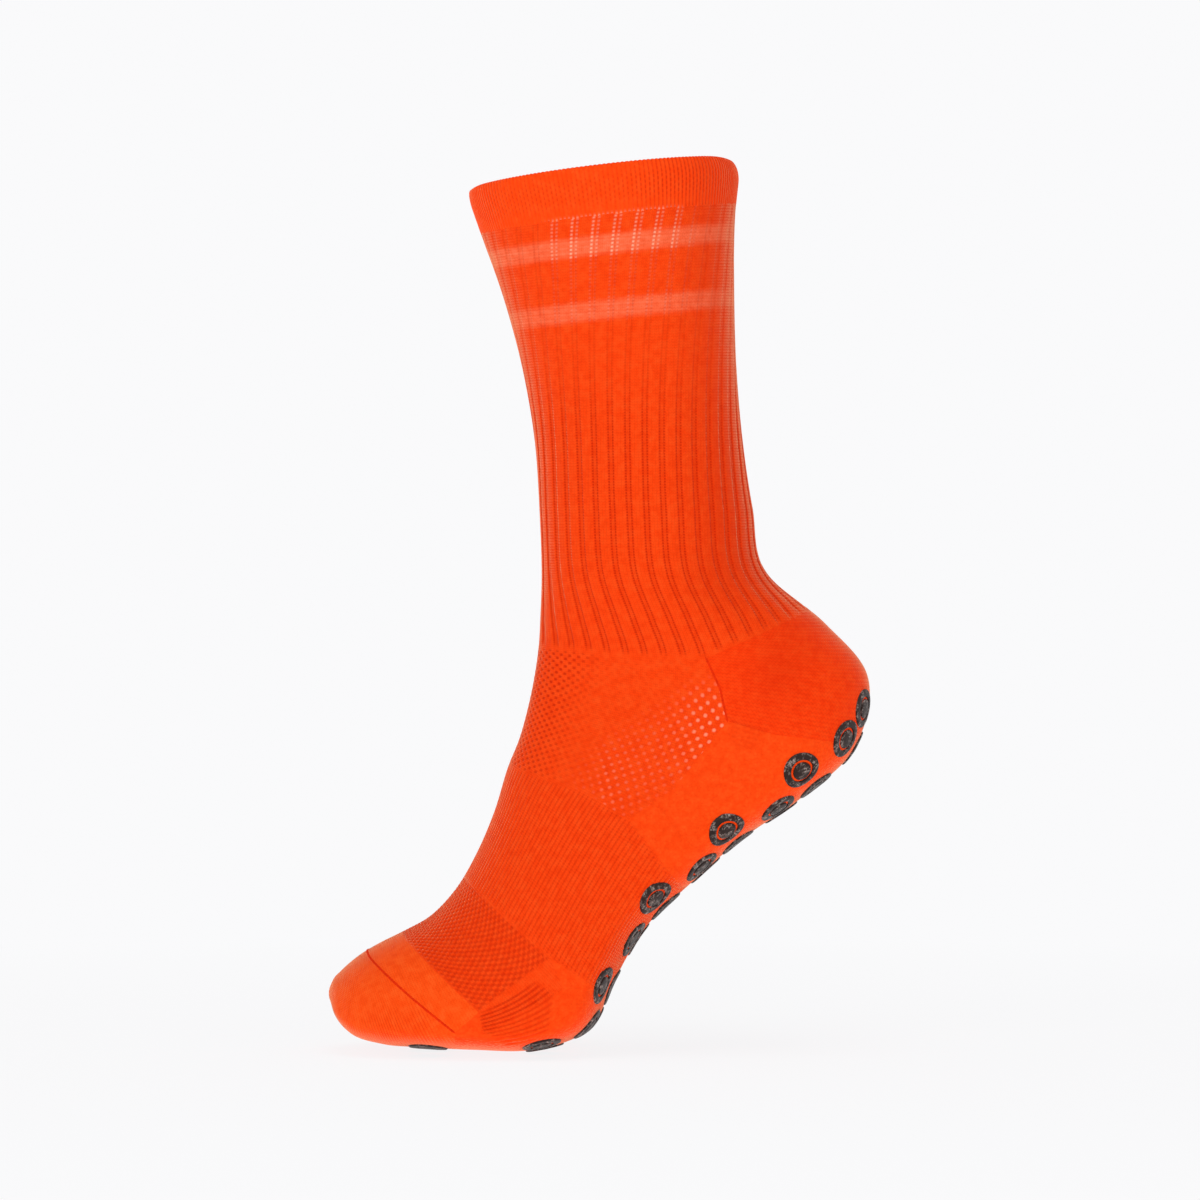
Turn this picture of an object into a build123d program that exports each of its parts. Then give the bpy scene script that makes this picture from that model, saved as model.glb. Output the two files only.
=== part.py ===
from build123d import *
import os
from collections import namedtuple
from math import atan2, cos, degrees, floor, hypot, radians, sin, sqrt

os.makedirs("parts", exist_ok=True)

# A knitted crew sock with silicone grip dots, in the shape of the raised foot that fills it.
# Millimetres. +Z is up the leg, +X points to the heel, -X to the toes, and the sock is the same
# on its two sides, -Y and +Y. The origin is the centre of the leg opening.

# ---- Driving dimensions ----
leg_height = 158.0       # leg opening down to the start of the heel
cuff_depth = 109.0       # front to back at the leg opening
cuff_width = 100.0       # side to side at the leg opening
ankle_depth = 84.0       # front to back at the ankle
ankle_width = 71.0
ankle_front = -24.5      # front of the ankle, behind the front of the cuff
rim_tilt = 5.5           # degrees, the leg opening is higher at the back
rim_front = -3.4         # height of the rim at its front, its sides and its back
rim_side = 3.7
rim_back = 9.5
foot_length = 248.0      # heel to toe
foot_pitch = 29.0        # degrees that the heel is raised
heel_reach = 131.7 / 248.0   # heel point behind the front of the ankle, in shares of the foot length
heel_drop = 48.0 / 248.0     # heel point below the start of the heel, in shares of the foot length
heel_width = 67.0
ball_width = 92.0
knit = 1.4               # thickness of one layer of knit
course_tilt = 7.0        # degrees, the knitted courses rise to the back as the rim does
course_settle = 400.0    # drop below the leg opening at which the courses would lie level
welt_height = 17.0       # leg opening to the lower edge of the turned welt
welt_gap = 0.5           # room between the two welt layers for the elastic
elastic_rounds = 5       # rounds of elastic yarn laid in the welt
elastic_height = 0.8
stripe_height = 8.3
first_stripe = 23.4      # leg opening to the top of each stripe
second_stripe = 48.8
seam_width = 1.6         # linked toe seam and heel gore
dot_diameter = 15.6
dot_height = 1.0
dot_spacing = 22.2       # centre to centre of neighbouring dots
dot_start = 69.5         # along the sole line, from the top of the heel to the first dots
dot_end_share = 0.745    # share of the sole line that the staggered rows may reach
toe_dots_from_tip = 46.2
inner_row_shift = 2.0    # how far the staggered inner rows sit back towards the heel
reach = 400.0            # past the sock on every side, for cutting prisms
rim_overrun = 1.0        # degrees that the rim's arc runs past the sock at its front and back

Station = namedtuple("Station", "front back half_width sole_depth")

# Leg: share of the leg height, share of the way from cuff to ankle, and the calf's bulge at the back.
leg_rows = [
    (-0.115, -0.20, 0.0),
    (0.0, 0.0, 0.0),
    (0.115, 0.20, -2.7),
    (0.287, 0.50, -4.6),
    (0.475, 0.75, -5.0),
    (0.658, 0.91, -3.4),
    (0.830, 0.97, 0.4),
    (1.0, 1.0, 6.5),
]

# Foot, in shares of the foot length along the line from heel to toe and above it: the top of the
# foot, the sole, then the half width as a share of the way from heel width to ball width, and how
# deep the rounded sole side of the section is.
foot_rows = [
    ((0.404, 0.371), (0.008, 0.135), 0.13, 0.200),
    ((0.430, 0.330), (-0.011, 0.033), 0.10, 0.170),
    ((0.464, 0.285), (0.065, -0.062), 0.00, 0.105),
    ((0.499, 0.245), (0.182, -0.091), 0.00, 0.072),
    ((0.532, 0.212), (0.296, -0.102), 0.04, 0.064),
    ((0.570, 0.181), (0.395, -0.123), 0.20, 0.060),
    ((0.624, 0.129), (0.501, -0.152), 0.45, 0.058),
    ((0.679, 0.086), (0.578, -0.197), 0.75, 0.055),
    ((0.740, 0.050), (0.663, -0.251), 0.97, 0.052),
    ((0.793, 0.033), (0.750, -0.236), 1.00, 0.052),
    ((0.842, 0.032), (0.834, -0.190), 0.87, 0.050),
    ((0.889, 0.034), (0.904, -0.147), 0.55, 0.046),
    ((0.931, 0.032), (0.961, -0.110), 0.03, 0.042),
    ((0.964, 0.025), (0.997, -0.072), -0.70, 0.030),
    ((0.986, 0.016), (1.006, -0.030), -1.58, 0.016),
    ((0.997, 0.006), (1.003, -0.014), -2.18, 0.010),
]

# How far the last sections turn towards the toe: the share of an inset that they take along the foot.
toe_rounding = (0.3, 0.7, 1.0)

heel_point = (ankle_front + heel_reach * foot_length, -leg_height - heel_drop * foot_length)


def foot_point(along, above):
    """A point of the side view from its shares of the foot length, from the heel."""
    ahead, up = cos(radians(foot_pitch)), sin(radians(foot_pitch))
    return (
        heel_point[0] - foot_length * (along * ahead + above * up),
        heel_point[1] + foot_length * (above * ahead - along * up),
    )


def leg_station(share, taper, calf):
    """A section across the leg, tilted with the leg opening above the ankle."""
    front = -cuff_depth / 2 + taper * (ankle_front + cuff_depth / 2)
    depth = cuff_depth + taper * (ankle_depth - cuff_depth)
    lift = sin(radians(rim_tilt)) * cuff_depth / 2 * (1 - taper)
    level = -leg_height * share
    return Station(
        (front, level - lift),
        (front + depth + calf, level + lift),
        (cuff_width + taper * (ankle_width - cuff_width)) / 2,
        (depth + calf) / 2,
    )


def foot_station(top, sole, widening, sole_depth):
    """A section across the foot from the instep to the sole."""
    return Station(
        foot_point(*top),
        foot_point(*sole),
        (heel_width + widening * (ball_width - heel_width)) / 2,
        foot_length * sole_depth,
    )


stations = [leg_station(*row) for row in leg_rows] + [foot_station(*row) for row in foot_rows]


def section_plane(station):
    """The plane of a section, with its x axis from the front to the sole."""
    (front_x, front_z), (back_x, back_z) = station.front, station.back
    depth = hypot(back_x - front_x, back_z - front_z)
    across = ((back_x - front_x) / depth, (back_z - front_z) / depth)
    share = 1 - station.sole_depth / depth
    centre = (front_x + share * (back_x - front_x), 0, front_z + share * (back_z - front_z))
    return Plane(origin=centre, x_dir=(across[0], 0, across[1]), z_dir=(-across[1], 0, across[0]))


def sock_form(inset, sections):
    """The filled shape of the sock through its sections, inset from its outer face."""
    faces = []
    first_toe_section = len(stations) - len(toe_rounding)
    for place, station in enumerate(sections):
        depth = hypot(station.back[0] - station.front[0], station.back[1] - station.front[1])
        half_width = station.half_width - inset
        toe_place = place - first_toe_section
        shift = inset * toe_rounding[toe_place] if toe_place >= 0 else 0
        with BuildSketch(section_plane(station).offset(shift)) as section:
            with BuildLine():
                EllipticalCenterArc((0, 0), station.sole_depth - inset, half_width, -90, arc_size=180)
                EllipticalCenterArc((0, 0), depth - station.sole_depth - inset, half_width, 90, arc_size=180)
            make_face()
        faces.append(section.sketch)
    with BuildPart() as form:
        loft(sections=faces)
    return form.part


def side_prism(outline):
    """A prism through the whole sock from an outline in the side view."""
    with BuildPart() as prism:
        with BuildSketch(Plane.XZ):
            with BuildLine():
                Polyline(*outline, close=True)
            make_face()
        extrude(amount=reach, both=True)
    return prism.part


def seam_prism(line):
    """A prism through the whole sock along a seam's line in the side view."""
    with BuildPart() as prism:
        with BuildSketch(Plane.XZ):
            with BuildLine():
                Polyline(*line)
            trace(line_width=seam_width)
        extrude(amount=reach, both=True)
    return prism.part


def knit_level(drop):
    """The line of one knitted course round the leg, at a drop below the leg opening."""
    rise = sin(radians(course_tilt * (1 - drop / course_settle))) * reach
    return (-reach, -drop - rise), (reach, -drop + rise)


def leg_band(upper, lower):
    """The side outline of the band of the leg between two drops."""
    return [*knit_level(upper), *reversed(knit_level(lower))]


# ---- Filled forms and the fabric wall ----
outer_form = sock_form(0, stations)
inner_form = sock_form(knit, stations)
dot_form = sock_form(-dot_height, stations)

gore_top, gore_middle, gore_end = foot_point(0.204, 0.185), foot_point(0.208, 0.132), foot_point(0.223, 0.081)
seam_out, seam_top = foot_point(0.960, 0.270), foot_point(0.909, 0.025)
seam_middle, seam_end = foot_point(0.875, -0.060), foot_point(0.841, -0.140)
gore_prism = seam_prism([gore_top, gore_middle, gore_end])
toe_seam_prism = seam_prism([seam_out, seam_top, seam_middle, seam_end])

with BuildPart() as wall:
    add(outer_form)
    add(inner_form, mode=Mode.SUBTRACT)

with BuildPart() as panels:
    add(wall.part)
    add(gore_prism, mode=Mode.SUBTRACT)
    add(toe_seam_prism, mode=Mode.SUBTRACT)


def save(piece, name):
    """Label a finished piece and write its STEP file."""
    piece.label = name
    export_step(piece, f"parts/{name}.step")


def knit_panel(name, outline):
    """Cut one knitted zone out of the wall along its outline in the side view."""
    prism = side_prism(outline)
    with BuildPart() as panel:
        add(panels.part)
        add(prism, mode=Mode.INTERSECT)
    save(panel.part, name)


# ---- Turned welt: an outer layer that folds over the rim, elastic yarn, an inner layer ----
welt_stations = stations[:4]
under_layer = sock_form(knit + welt_gap, welt_stations)
welt_lining = sock_form(2 * knit + welt_gap, welt_stations)
layer_form = sock_form(knit, welt_stations)


def welt_block(inset):
    """The side view of the welt below a rim line inset from the rim."""
    front, back = (-cuff_depth / 2, rim_front - inset), (cuff_depth / 2, rim_back - inset)
    front_out, back_out = knit_level(inset)
    low_front, low_back = knit_level(welt_height)
    across = ThreePointArc(front, (0, rim_side - inset), back)
    centre = across.arc_center
    angle_back, angle_front = (degrees(atan2(z - centre.Y, x - centre.X)) for x, z in (back, front))
    with BuildPart() as block:
        with BuildSketch(Plane.XZ):
            with BuildLine():
                start, sweep = angle_back - rim_overrun, angle_front - angle_back + 2 * rim_overrun
                rim = CenterArc(centre, across.radius, start, sweep)
                Polyline(rim @ 1, front_out, low_front, low_back, back_out, rim @ 0)
            make_face()
        extrude(amount=reach, both=True)
    return block.part


whole_welt, welt_under_fold = welt_block(0), welt_block(knit)

with BuildPart() as welt_outer:
    add(outer_form)
    add(welt_lining, mode=Mode.SUBTRACT)
    add(whole_welt, mode=Mode.INTERSECT)
with BuildPart() as welt_core:
    add(layer_form)
    add(welt_lining, mode=Mode.SUBTRACT)
    add(welt_under_fold, mode=Mode.INTERSECT)
with BuildPart() as welt_shell:
    add(welt_outer.part)
    add(welt_core.part, mode=Mode.SUBTRACT)
with BuildPart() as welt_inner:
    add(under_layer)
    add(welt_lining, mode=Mode.SUBTRACT)
    add(welt_under_fold, mode=Mode.INTERSECT)
save(welt_shell.part, "welt_outer_layer")
save(welt_inner.part, "welt_inner_layer")

elastic_pitch = welt_height / (elastic_rounds + 1)
with BuildPart() as elastic_slices:
    for turn in range(elastic_rounds):
        drop = elastic_pitch * (turn + 1)
        with BuildSketch(Plane.XZ):
            with BuildLine():
                Polyline(*leg_band(drop, drop + elastic_height), close=True)
            make_face()
        extrude(amount=reach, both=True)
with BuildPart() as welt_elastic:
    add(layer_form)
    add(under_layer, mode=Mode.SUBTRACT)
    add(elastic_slices.part, mode=Mode.INTERSECT)
save(welt_elastic.part, "welt_elastic_yarn")

# ---- Leg ----
knit_panel("upper_rib_band", leg_band(welt_height, first_stripe))
knit_panel("upper_stripe", leg_band(first_stripe, first_stripe + stripe_height))
knit_panel("middle_rib_band", leg_band(first_stripe + stripe_height, second_stripe))
knit_panel("lower_stripe", leg_band(second_stripe, second_stripe + stripe_height))

rib_end_front, rib_end = foot_point(0.716, 0.526), foot_point(0.308, 0.244)
heel_top_out = foot_point(-0.118, 0.158)
leg_top_front, leg_top_back = knit_level(second_stripe + stripe_height)
knit_panel(
    "leg_rib_tube",
    [leg_top_front, leg_top_back, (reach, heel_top_out[1]), heel_top_out, gore_top, rib_end, rib_end_front,
     (-reach, rib_end_front[1])],
)

# ---- Foot ----
instep_out, mesh_low, mesh_tip = foot_point(0.708, 0.332), foot_point(0.477, 0.092), foot_point(0.436, 0.020)
mesh_back, heel_sole_bend = foot_point(0.350, 0.028), foot_point(0.169, 0.027)
heel_sole_out, heel_under = foot_point(-0.113, -0.181), foot_point(-0.113, -0.450)
arch_out, ball_out = foot_point(0.371, -0.400), foot_point(0.488, -0.420)
forefoot_back, forefoot_low = foot_point(0.650, -0.111), foot_point(0.792, -0.130)
forefoot_out, toe_top_out = foot_point(0.810, 0.319), foot_point(0.940, 0.300)
gather_back, gather_low = foot_point(0.656, -0.163), foot_point(0.803, -0.164)
toe_under = foot_point(0.962, -0.359)

knit_panel(
    "instep_mesh",
    [rib_end_front, rib_end, gore_top, gore_middle, gore_end, mesh_back, mesh_tip, mesh_low, instep_out],
)
knit_panel("heel_pocket", [gore_top, heel_top_out, heel_sole_out, heel_sole_bend, gore_end, gore_middle])
knit_panel(
    "heel_sole_pad",
    [gore_end, heel_sole_bend, heel_sole_out, heel_under, arch_out, mesh_tip, mesh_back],
)
knit_panel("midfoot_rib_band", [instep_out, mesh_low, mesh_tip, arch_out, ball_out, forefoot_back, forefoot_out])
knit_panel("forefoot_mesh", [forefoot_out, forefoot_back, forefoot_low, toe_top_out])
knit_panel("side_gathers", [forefoot_back, gather_back, gather_low, forefoot_low])
knit_panel(
    "ball_sole_pad",
    [forefoot_back, ball_out, toe_under, seam_end, forefoot_low, gather_low, gather_back],
)
knit_panel("toe_bridge", [toe_top_out, forefoot_low, seam_end, seam_middle, seam_top, seam_out])
knit_panel(
    "toe_pocket",
    [seam_out, seam_top, seam_middle, seam_end, toe_under, foot_point(1.3, -0.359), foot_point(1.3, 0.270)],
)

with BuildPart() as heel_gore_seams:
    add(wall.part)
    add(gore_prism, mode=Mode.INTERSECT)
save(heel_gore_seams.part, "heel_gore_seams")

with BuildPart() as toe_seam:
    add(wall.part)
    add(toe_seam_prism, mode=Mode.INTERSECT)
save(toe_seam.part, "toe_linking_seam")

# ---- Grip dots, in staggered rows along the sole ----
sole_stations = stations[len(leg_rows) - 1:]


def sole_place(distance, girth):
    """A point on the outer face and its outward direction, at a distance along the sole line from
    the top of the heel and a girth round the section from the sole line."""
    for here, ahead in zip(sole_stations, sole_stations[1:]):
        step = (ahead.back[0] - here.back[0], ahead.back[1] - here.back[1])
        length = hypot(*step)
        if distance <= length:
            break
        distance -= length
    share = distance / length
    half_width = here.half_width + share * (ahead.half_width - here.half_width)
    sole_depth = here.sole_depth + share * (ahead.sole_depth - here.sole_depth)
    back = Vector(here.back[0] + share * step[0], 0, here.back[1] + share * step[1])
    across = section_plane(here).x_dir * (1 - share) + section_plane(ahead).x_dir * share
    down = Vector(-step[1], 0, step[0]).normalized()
    angle, walked, slice_angle = 0.0, 0.0, radians(1)
    while walked < abs(girth):
        walked += hypot(half_width * cos(angle), sole_depth * sin(angle)) * slice_angle
        angle += slice_angle
    side = 1 if girth >= 0 else -1
    square_depth = sole_depth * across.dot(down)
    point = back + down * (square_depth * (cos(angle) - 1)) + Vector(0, side * half_width * sin(angle), 0)
    outward = down * (cos(angle) / square_depth) + Vector(0, side * sin(angle) / half_width, 0)
    return point, outward.normalized()


def grip_dots(name, rows):
    """A group of dots on the sole, from rows of (distance along the sole, girth steps)."""
    with BuildPart() as pegs:
        for distance, girth_steps in rows:
            for step in girth_steps:
                point, outward = sole_place(distance, step * dot_spacing / 2)
                foot = Plane(origin=point - outward * dot_diameter / 2, z_dir=outward)
                with BuildSketch(foot):
                    Circle(dot_diameter / 2)
                extrude(amount=dot_diameter)
    with BuildPart() as dots:
        add(dot_form)
        add(outer_form, mode=Mode.SUBTRACT)
        add(pegs.part, mode=Mode.INTERSECT)
    save(dots.part, name)


dot_pitch = dot_spacing * sqrt(3)
outer_rows, inner_rows, top_row, toe_row = (-3, -1, 1, 3), (-2, 0, 2), (-1, 1), (-2, 0, 2)


def dot_row(number):
    """The distance and the girth steps of a row, which are staggered by half a pitch."""
    inner = number % 2
    distance = dot_start + number * dot_pitch / 2 - inner * inner_row_shift
    return distance, inner_rows if inner else outer_rows


sole_length = sum(
    hypot(b.back[0] - a.back[0], b.back[1] - a.back[1]) for a, b in zip(sole_stations, sole_stations[1:])
)
grip_dots("heel_grip_dots", [(dot_start, top_row)] + [dot_row(number) for number in range(1, 4)])
grip_dots("arch_grip_dots", [dot_row(number) for number in range(4, 7)])
last_row = floor((dot_end_share * sole_length - dot_start) / (dot_pitch / 2))
grip_dots("ball_grip_dots", [dot_row(number) for number in range(7, last_row + 1)])
grip_dots("toe_grip_dots", [(sole_length - toe_dots_from_tip, toe_row)])
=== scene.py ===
"""Looks of a knitted grip sock on a raised foot: ribbed leg, meshed instep, terry sole, silicone dots.

Lengths in the form are millimetres, as the sock was measured; meshes are written in metres. +Z is up
the leg, +X points to the heel and -X to the toes. The origin is the centre of the leg opening.
"""

import logging
import math
from dataclasses import dataclass, field
from enum import Enum
from typing import Callable, Iterable, Sequence

import bmesh
import bpy
import numpy as np
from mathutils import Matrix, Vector

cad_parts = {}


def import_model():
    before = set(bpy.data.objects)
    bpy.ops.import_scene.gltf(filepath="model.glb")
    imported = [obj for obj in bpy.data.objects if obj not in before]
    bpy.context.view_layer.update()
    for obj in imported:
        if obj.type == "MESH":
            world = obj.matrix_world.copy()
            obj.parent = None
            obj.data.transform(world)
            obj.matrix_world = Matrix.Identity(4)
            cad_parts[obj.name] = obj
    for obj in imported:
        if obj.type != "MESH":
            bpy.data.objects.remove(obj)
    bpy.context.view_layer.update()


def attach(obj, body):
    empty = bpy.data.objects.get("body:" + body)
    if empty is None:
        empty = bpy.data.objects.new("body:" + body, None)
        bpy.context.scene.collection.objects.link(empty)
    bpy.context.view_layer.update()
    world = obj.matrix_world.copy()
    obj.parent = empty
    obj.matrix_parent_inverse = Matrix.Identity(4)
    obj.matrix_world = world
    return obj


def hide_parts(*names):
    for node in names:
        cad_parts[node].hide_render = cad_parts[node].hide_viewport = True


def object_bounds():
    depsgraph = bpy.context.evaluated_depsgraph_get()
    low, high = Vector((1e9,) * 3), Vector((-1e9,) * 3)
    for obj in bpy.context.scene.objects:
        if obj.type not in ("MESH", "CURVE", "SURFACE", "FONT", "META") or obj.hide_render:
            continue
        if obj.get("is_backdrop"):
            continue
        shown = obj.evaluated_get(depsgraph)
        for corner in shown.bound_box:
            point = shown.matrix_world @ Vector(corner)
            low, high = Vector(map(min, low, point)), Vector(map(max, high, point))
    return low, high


log = logging.getLogger("sock")

MM = 0.001
MERGE = 1e-7  # points nearer than this are one, in metres
BODY = "root"
WALES = 180  # needles of the knitting machine, so wales round the leg
Point2 = tuple[float, float]
Point3 = tuple[float, float, float]
Colour = tuple[float, float, float, float]


# ---- The sock's form ----


class Track:
    """A smooth curve of numbers along the sock, through a value at each section."""

    def __init__(self, places: np.ndarray, values: np.ndarray) -> None:
        """Work out the slope at each section from its neighbours.

        Args:
            places: Rising distances along the sock.
            values: The number at each of them.
        """
        self.places, self.values = np.asarray(places, float), np.asarray(values, float)
        gaps = np.diff(self.places)
        steps = np.diff(self.values) / gaps
        slopes = np.empty_like(self.values)
        slopes[1:-1] = (steps[:-1] * gaps[1:] + steps[1:] * gaps[:-1]) / (gaps[1:] + gaps[:-1])
        slopes[0], slopes[-1] = steps[0], steps[-1]
        self.slopes = slopes

    def __call__(self, at: np.ndarray) -> np.ndarray:
        """The numbers at distances along the sock.

        Args:
            at: Distances, of any shape.

        Returns:
            The curve's values there, of the same shape.
        """
        at = np.clip(np.asarray(at, float), self.places[0], self.places[-1])
        cell = np.clip(np.searchsorted(self.places, at, side="right") - 1, 0, len(self.places) - 2)
        gap = self.places[cell + 1] - self.places[cell]
        share = (at - self.places[cell]) / gap
        square, cube = share**2, share**3
        return (
            (2 * cube - 3 * square + 1) * self.values[cell]
            + (cube - 2 * square + share) * gap * self.slopes[cell]
            + (3 * square - 2 * cube) * self.values[cell + 1]
            + (cube - square) * gap * self.slopes[cell + 1]
        )


@dataclass(frozen=True)
class LegBands:
    """The bands knitted round the leg, as drops below the middle of the opening."""

    welt: float = 17.0
    welt_overlap: float = 1.1
    first_stripe: float = 23.4
    second_stripe: float = 48.8
    stripe: float = 8.3


@dataclass
class SockForm:
    """The outer face of the sock: sections of two half ellipses from the leg opening to the toes."""

    bands: LegBands = LegBands()

    leg_height: float = 158.0
    cuff_depth: float = 109.0
    cuff_width: float = 100.0
    ankle_depth: float = 84.0
    ankle_width: float = 71.0
    ankle_front: float = -24.5
    rim_tilt: float = 5.5
    rim_front: float = -3.4
    rim_side: float = 3.7
    rim_back: float = 9.5
    course_tilt: float = 7.0
    course_settle: float = 400.0
    foot_length: float = 248.0
    foot_pitch: float = 29.0
    heel_width: float = 67.0
    ball_width: float = 92.0
    heel_along: float = 131.7
    heel_drop: float = 48.0
    leg_rows: tuple = (
        (-0.115, -0.20, 0.0), (0.0, 0.0, 0.0), (0.115, 0.20, -2.7), (0.287, 0.50, -4.6),
        (0.475, 0.75, -5.0), (0.658, 0.91, -3.4), (0.830, 0.97, 0.4), (1.0, 1.0, 6.5),
    )
    foot_rows: tuple = (
        ((0.404, 0.371), (0.008, 0.135), 0.13, 0.200), ((0.430, 0.330), (-0.011, 0.033), 0.10, 0.170),
        ((0.464, 0.285), (0.065, -0.062), 0.00, 0.105), ((0.499, 0.245), (0.182, -0.091), 0.00, 0.072),
        ((0.532, 0.212), (0.296, -0.102), 0.04, 0.064), ((0.570, 0.181), (0.395, -0.123), 0.20, 0.060),
        ((0.624, 0.129), (0.501, -0.152), 0.45, 0.058), ((0.679, 0.086), (0.578, -0.197), 0.75, 0.055),
        ((0.740, 0.050), (0.663, -0.251), 0.97, 0.052), ((0.793, 0.033), (0.750, -0.236), 1.00, 0.052),
        ((0.842, 0.032), (0.834, -0.190), 0.87, 0.050), ((0.889, 0.034), (0.904, -0.147), 0.55, 0.046),
        ((0.931, 0.032), (0.961, -0.110), 0.03, 0.042), ((0.964, 0.025), (0.997, -0.072), -0.70, 0.030),
        ((0.986, 0.016), (1.006, -0.030), -1.58, 0.016), ((0.997, 0.006), (1.003, -0.014), -2.18, 0.010),
    )
    tip_reach: float = 0.5
    tip_size: float = 0.01
    angles: int = 720
    wales: int = WALES
    front_corner: tuple[float, float] = (0.14, 0.7)
    back_corner: tuple[float, float] = (0.26, 1.6)
    twist: float = 18.5
    twist_end: float = 158.0
    widening: float = 0.5
    toe_stations: int = 5
    tracks: dict[str, Track] = field(default_factory=dict)

    def __post_init__(self) -> None:
        """Lay the sections along the sock and fit the curves through them."""
        rows = [self.leg_section(*row) for row in self.leg_rows]
        rows += [self.foot_section(*row) for row in self.foot_rows]
        rows.append(self.tip_section(rows[-1]))
        table = np.array(rows)
        steps = np.hypot(*np.diff((table[:, 0:2] + table[:, 2:4]) / 2, axis=0).T)
        sides = np.maximum(np.hypot(*np.diff(table[:, 0:2], axis=0).T), np.hypot(*np.diff(table[:, 2:4], axis=0).T))
        steps[-self.toe_stations:] = sides[-self.toe_stations:]
        places = np.concatenate([[0], np.cumsum(steps)])
        names = ("front_x", "front_z", "back_x", "back_z", "half_width", "sole_depth")
        self.tracks = {name: Track(places, table[:, i]) for i, name in enumerate(names)}
        self.length = float(places[-1])
        self.rows = np.linspace(0, self.length, 900)
        self.angle_table, self.girths = self.even_angles(self.rows)
        waist = int(self.girths[: len(self.rows) // 2].argmin())
        widened = self.girths[waist] * (self.girths / self.girths[waist]) ** self.widening
        self.wale_sizes = np.where(self.rows < self.rows[waist], self.girths, widened) / self.wales

    def foot_point(self, along: float, above: float) -> Point2:
        """A point of the side view from its shares of the foot length, from the heel."""
        ahead, up = math.cos(math.radians(self.foot_pitch)), math.sin(math.radians(self.foot_pitch))
        return (
            self.ankle_front + self.heel_along - self.foot_length * (along * ahead + above * up),
            -self.leg_height - self.heel_drop + self.foot_length * (above * ahead - along * up),
        )

    def leg_section(self, share: float, taper: float, calf: float) -> tuple[float, ...]:
        """One section across the leg, tilted with the leg opening above the ankle.

        Args:
            share: Share of the leg's height below the opening.
            taper: How far it has narrowed to the ankle, from 0 to 1.
            calf: How far the calf stands out at the back.

        Returns:
            The tracks' numbers, in their order.
        """
        front = -self.cuff_depth / 2 + taper * (self.ankle_front + self.cuff_depth / 2)
        depth = self.cuff_depth + taper * (self.ankle_depth - self.cuff_depth)
        lift = self.rim_lift * (1 - taper)
        level = -self.leg_height * share
        width = self.cuff_width + taper * (self.ankle_width - self.cuff_width)
        return front, level - lift, front + depth + calf, level + lift, width / 2, (depth + calf) / 2

    def foot_section(self, top: Point2, sole: Point2, widening: float, sole_depth: float) -> tuple[float, ...]:
        """One section across the foot, from the instep to the sole."""
        half_width = (self.heel_width + widening * (self.ball_width - self.heel_width)) / 2
        return (*self.foot_point(*top), *self.foot_point(*sole), half_width, self.foot_length * sole_depth)

    def tip_section(self, last: tuple[float, ...]) -> tuple[float, ...]:
        """The closing point in front of the last section.

        Args:
            last: The last section.

        Returns:
            The tracks' numbers, in their order.
        """
        x, z = (last[0] + last[2]) / 2, (last[1] + last[3]) / 2
        ahead, up = math.cos(math.radians(self.foot_pitch)), math.sin(math.radians(self.foot_pitch))
        x, z = x - self.tip_reach * ahead, z - self.tip_reach * up
        return x, z + self.tip_size, x, z - self.tip_size, self.tip_size, self.tip_size

    @property
    def rim_lift(self) -> float:
        """How far the opening's back stands above its middle."""
        return math.sin(math.radians(self.rim_tilt)) * self.cuff_depth / 2

    def level_slope(self, drop: float) -> float:
        """Rise per length of a knitted course, at a drop below the opening."""
        return math.sin(math.radians(self.course_tilt * (1 - drop / self.course_settle)))

    def rim_level(self, x: np.ndarray) -> np.ndarray:
        """Height of the rim at places across the opening: an arc with rounded corners.

        Args:
            x: Places along X.

        Returns:
            Heights of the same shape.
        """
        share = np.clip(x / (self.cuff_depth / 2), -1.0, 1.0)
        middle, lift = (self.rim_front + self.rim_back) / 2, (self.rim_back - self.rim_front) / 2
        level = middle + lift * share + (self.rim_side - middle) * (1 - share**2)
        for side, (width, drop) in ((-share, self.front_corner), (share, self.back_corner)):
            level = level - drop * np.clip((side - 1 + width) / width, 0, 1) ** 3
        return level

    def even_angles(self, along: np.ndarray) -> tuple[np.ndarray, np.ndarray]:
        """The section angle at even shares of each section's girth, and the girth.

        Args:
            along: Distances along the sock, shape (rows,).

        Returns:
            Angles in radians, shape (rows, angles + 1), and girths, shape (rows,).
        """
        sweep = np.linspace(0, 2 * math.pi, self.angles + 1)
        depth = np.hypot(
            self.tracks["back_x"](along) - self.tracks["front_x"](along),
            self.tracks["back_z"](along) - self.tracks["front_z"](along),
        )
        sole, width = self.tracks["sole_depth"](along), self.tracks["half_width"](along)
        found, girths = np.empty((len(along), len(sweep))), np.empty(len(along))
        for row in range(len(along)):
            reach = np.where(np.cos(sweep) > 0, sole[row], depth[row] - sole[row])
            steps = np.hypot(np.diff(reach * np.cos(sweep)), np.diff(width[row] * np.sin(sweep)))
            walked = np.concatenate([[0], np.cumsum(steps)])
            girths[row] = walked[-1]
            found[row] = np.interp(sweep / sweep[-1] * walked[-1], walked, sweep)
        return found, girths

    def lattice(self, turns: np.ndarray, along: np.ndarray) -> "Lattice":
        """Points of the outer face on a lattice.

        Args:
            turns: Shares of a turn from the sole line, shape (columns,).
            along: Distances along the sock, shape (rows,).

        Returns:
            The lattice.
        """
        return self.place(np.repeat(turns[None], len(along), 0), np.repeat(along[:, None], len(turns), 1))

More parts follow.
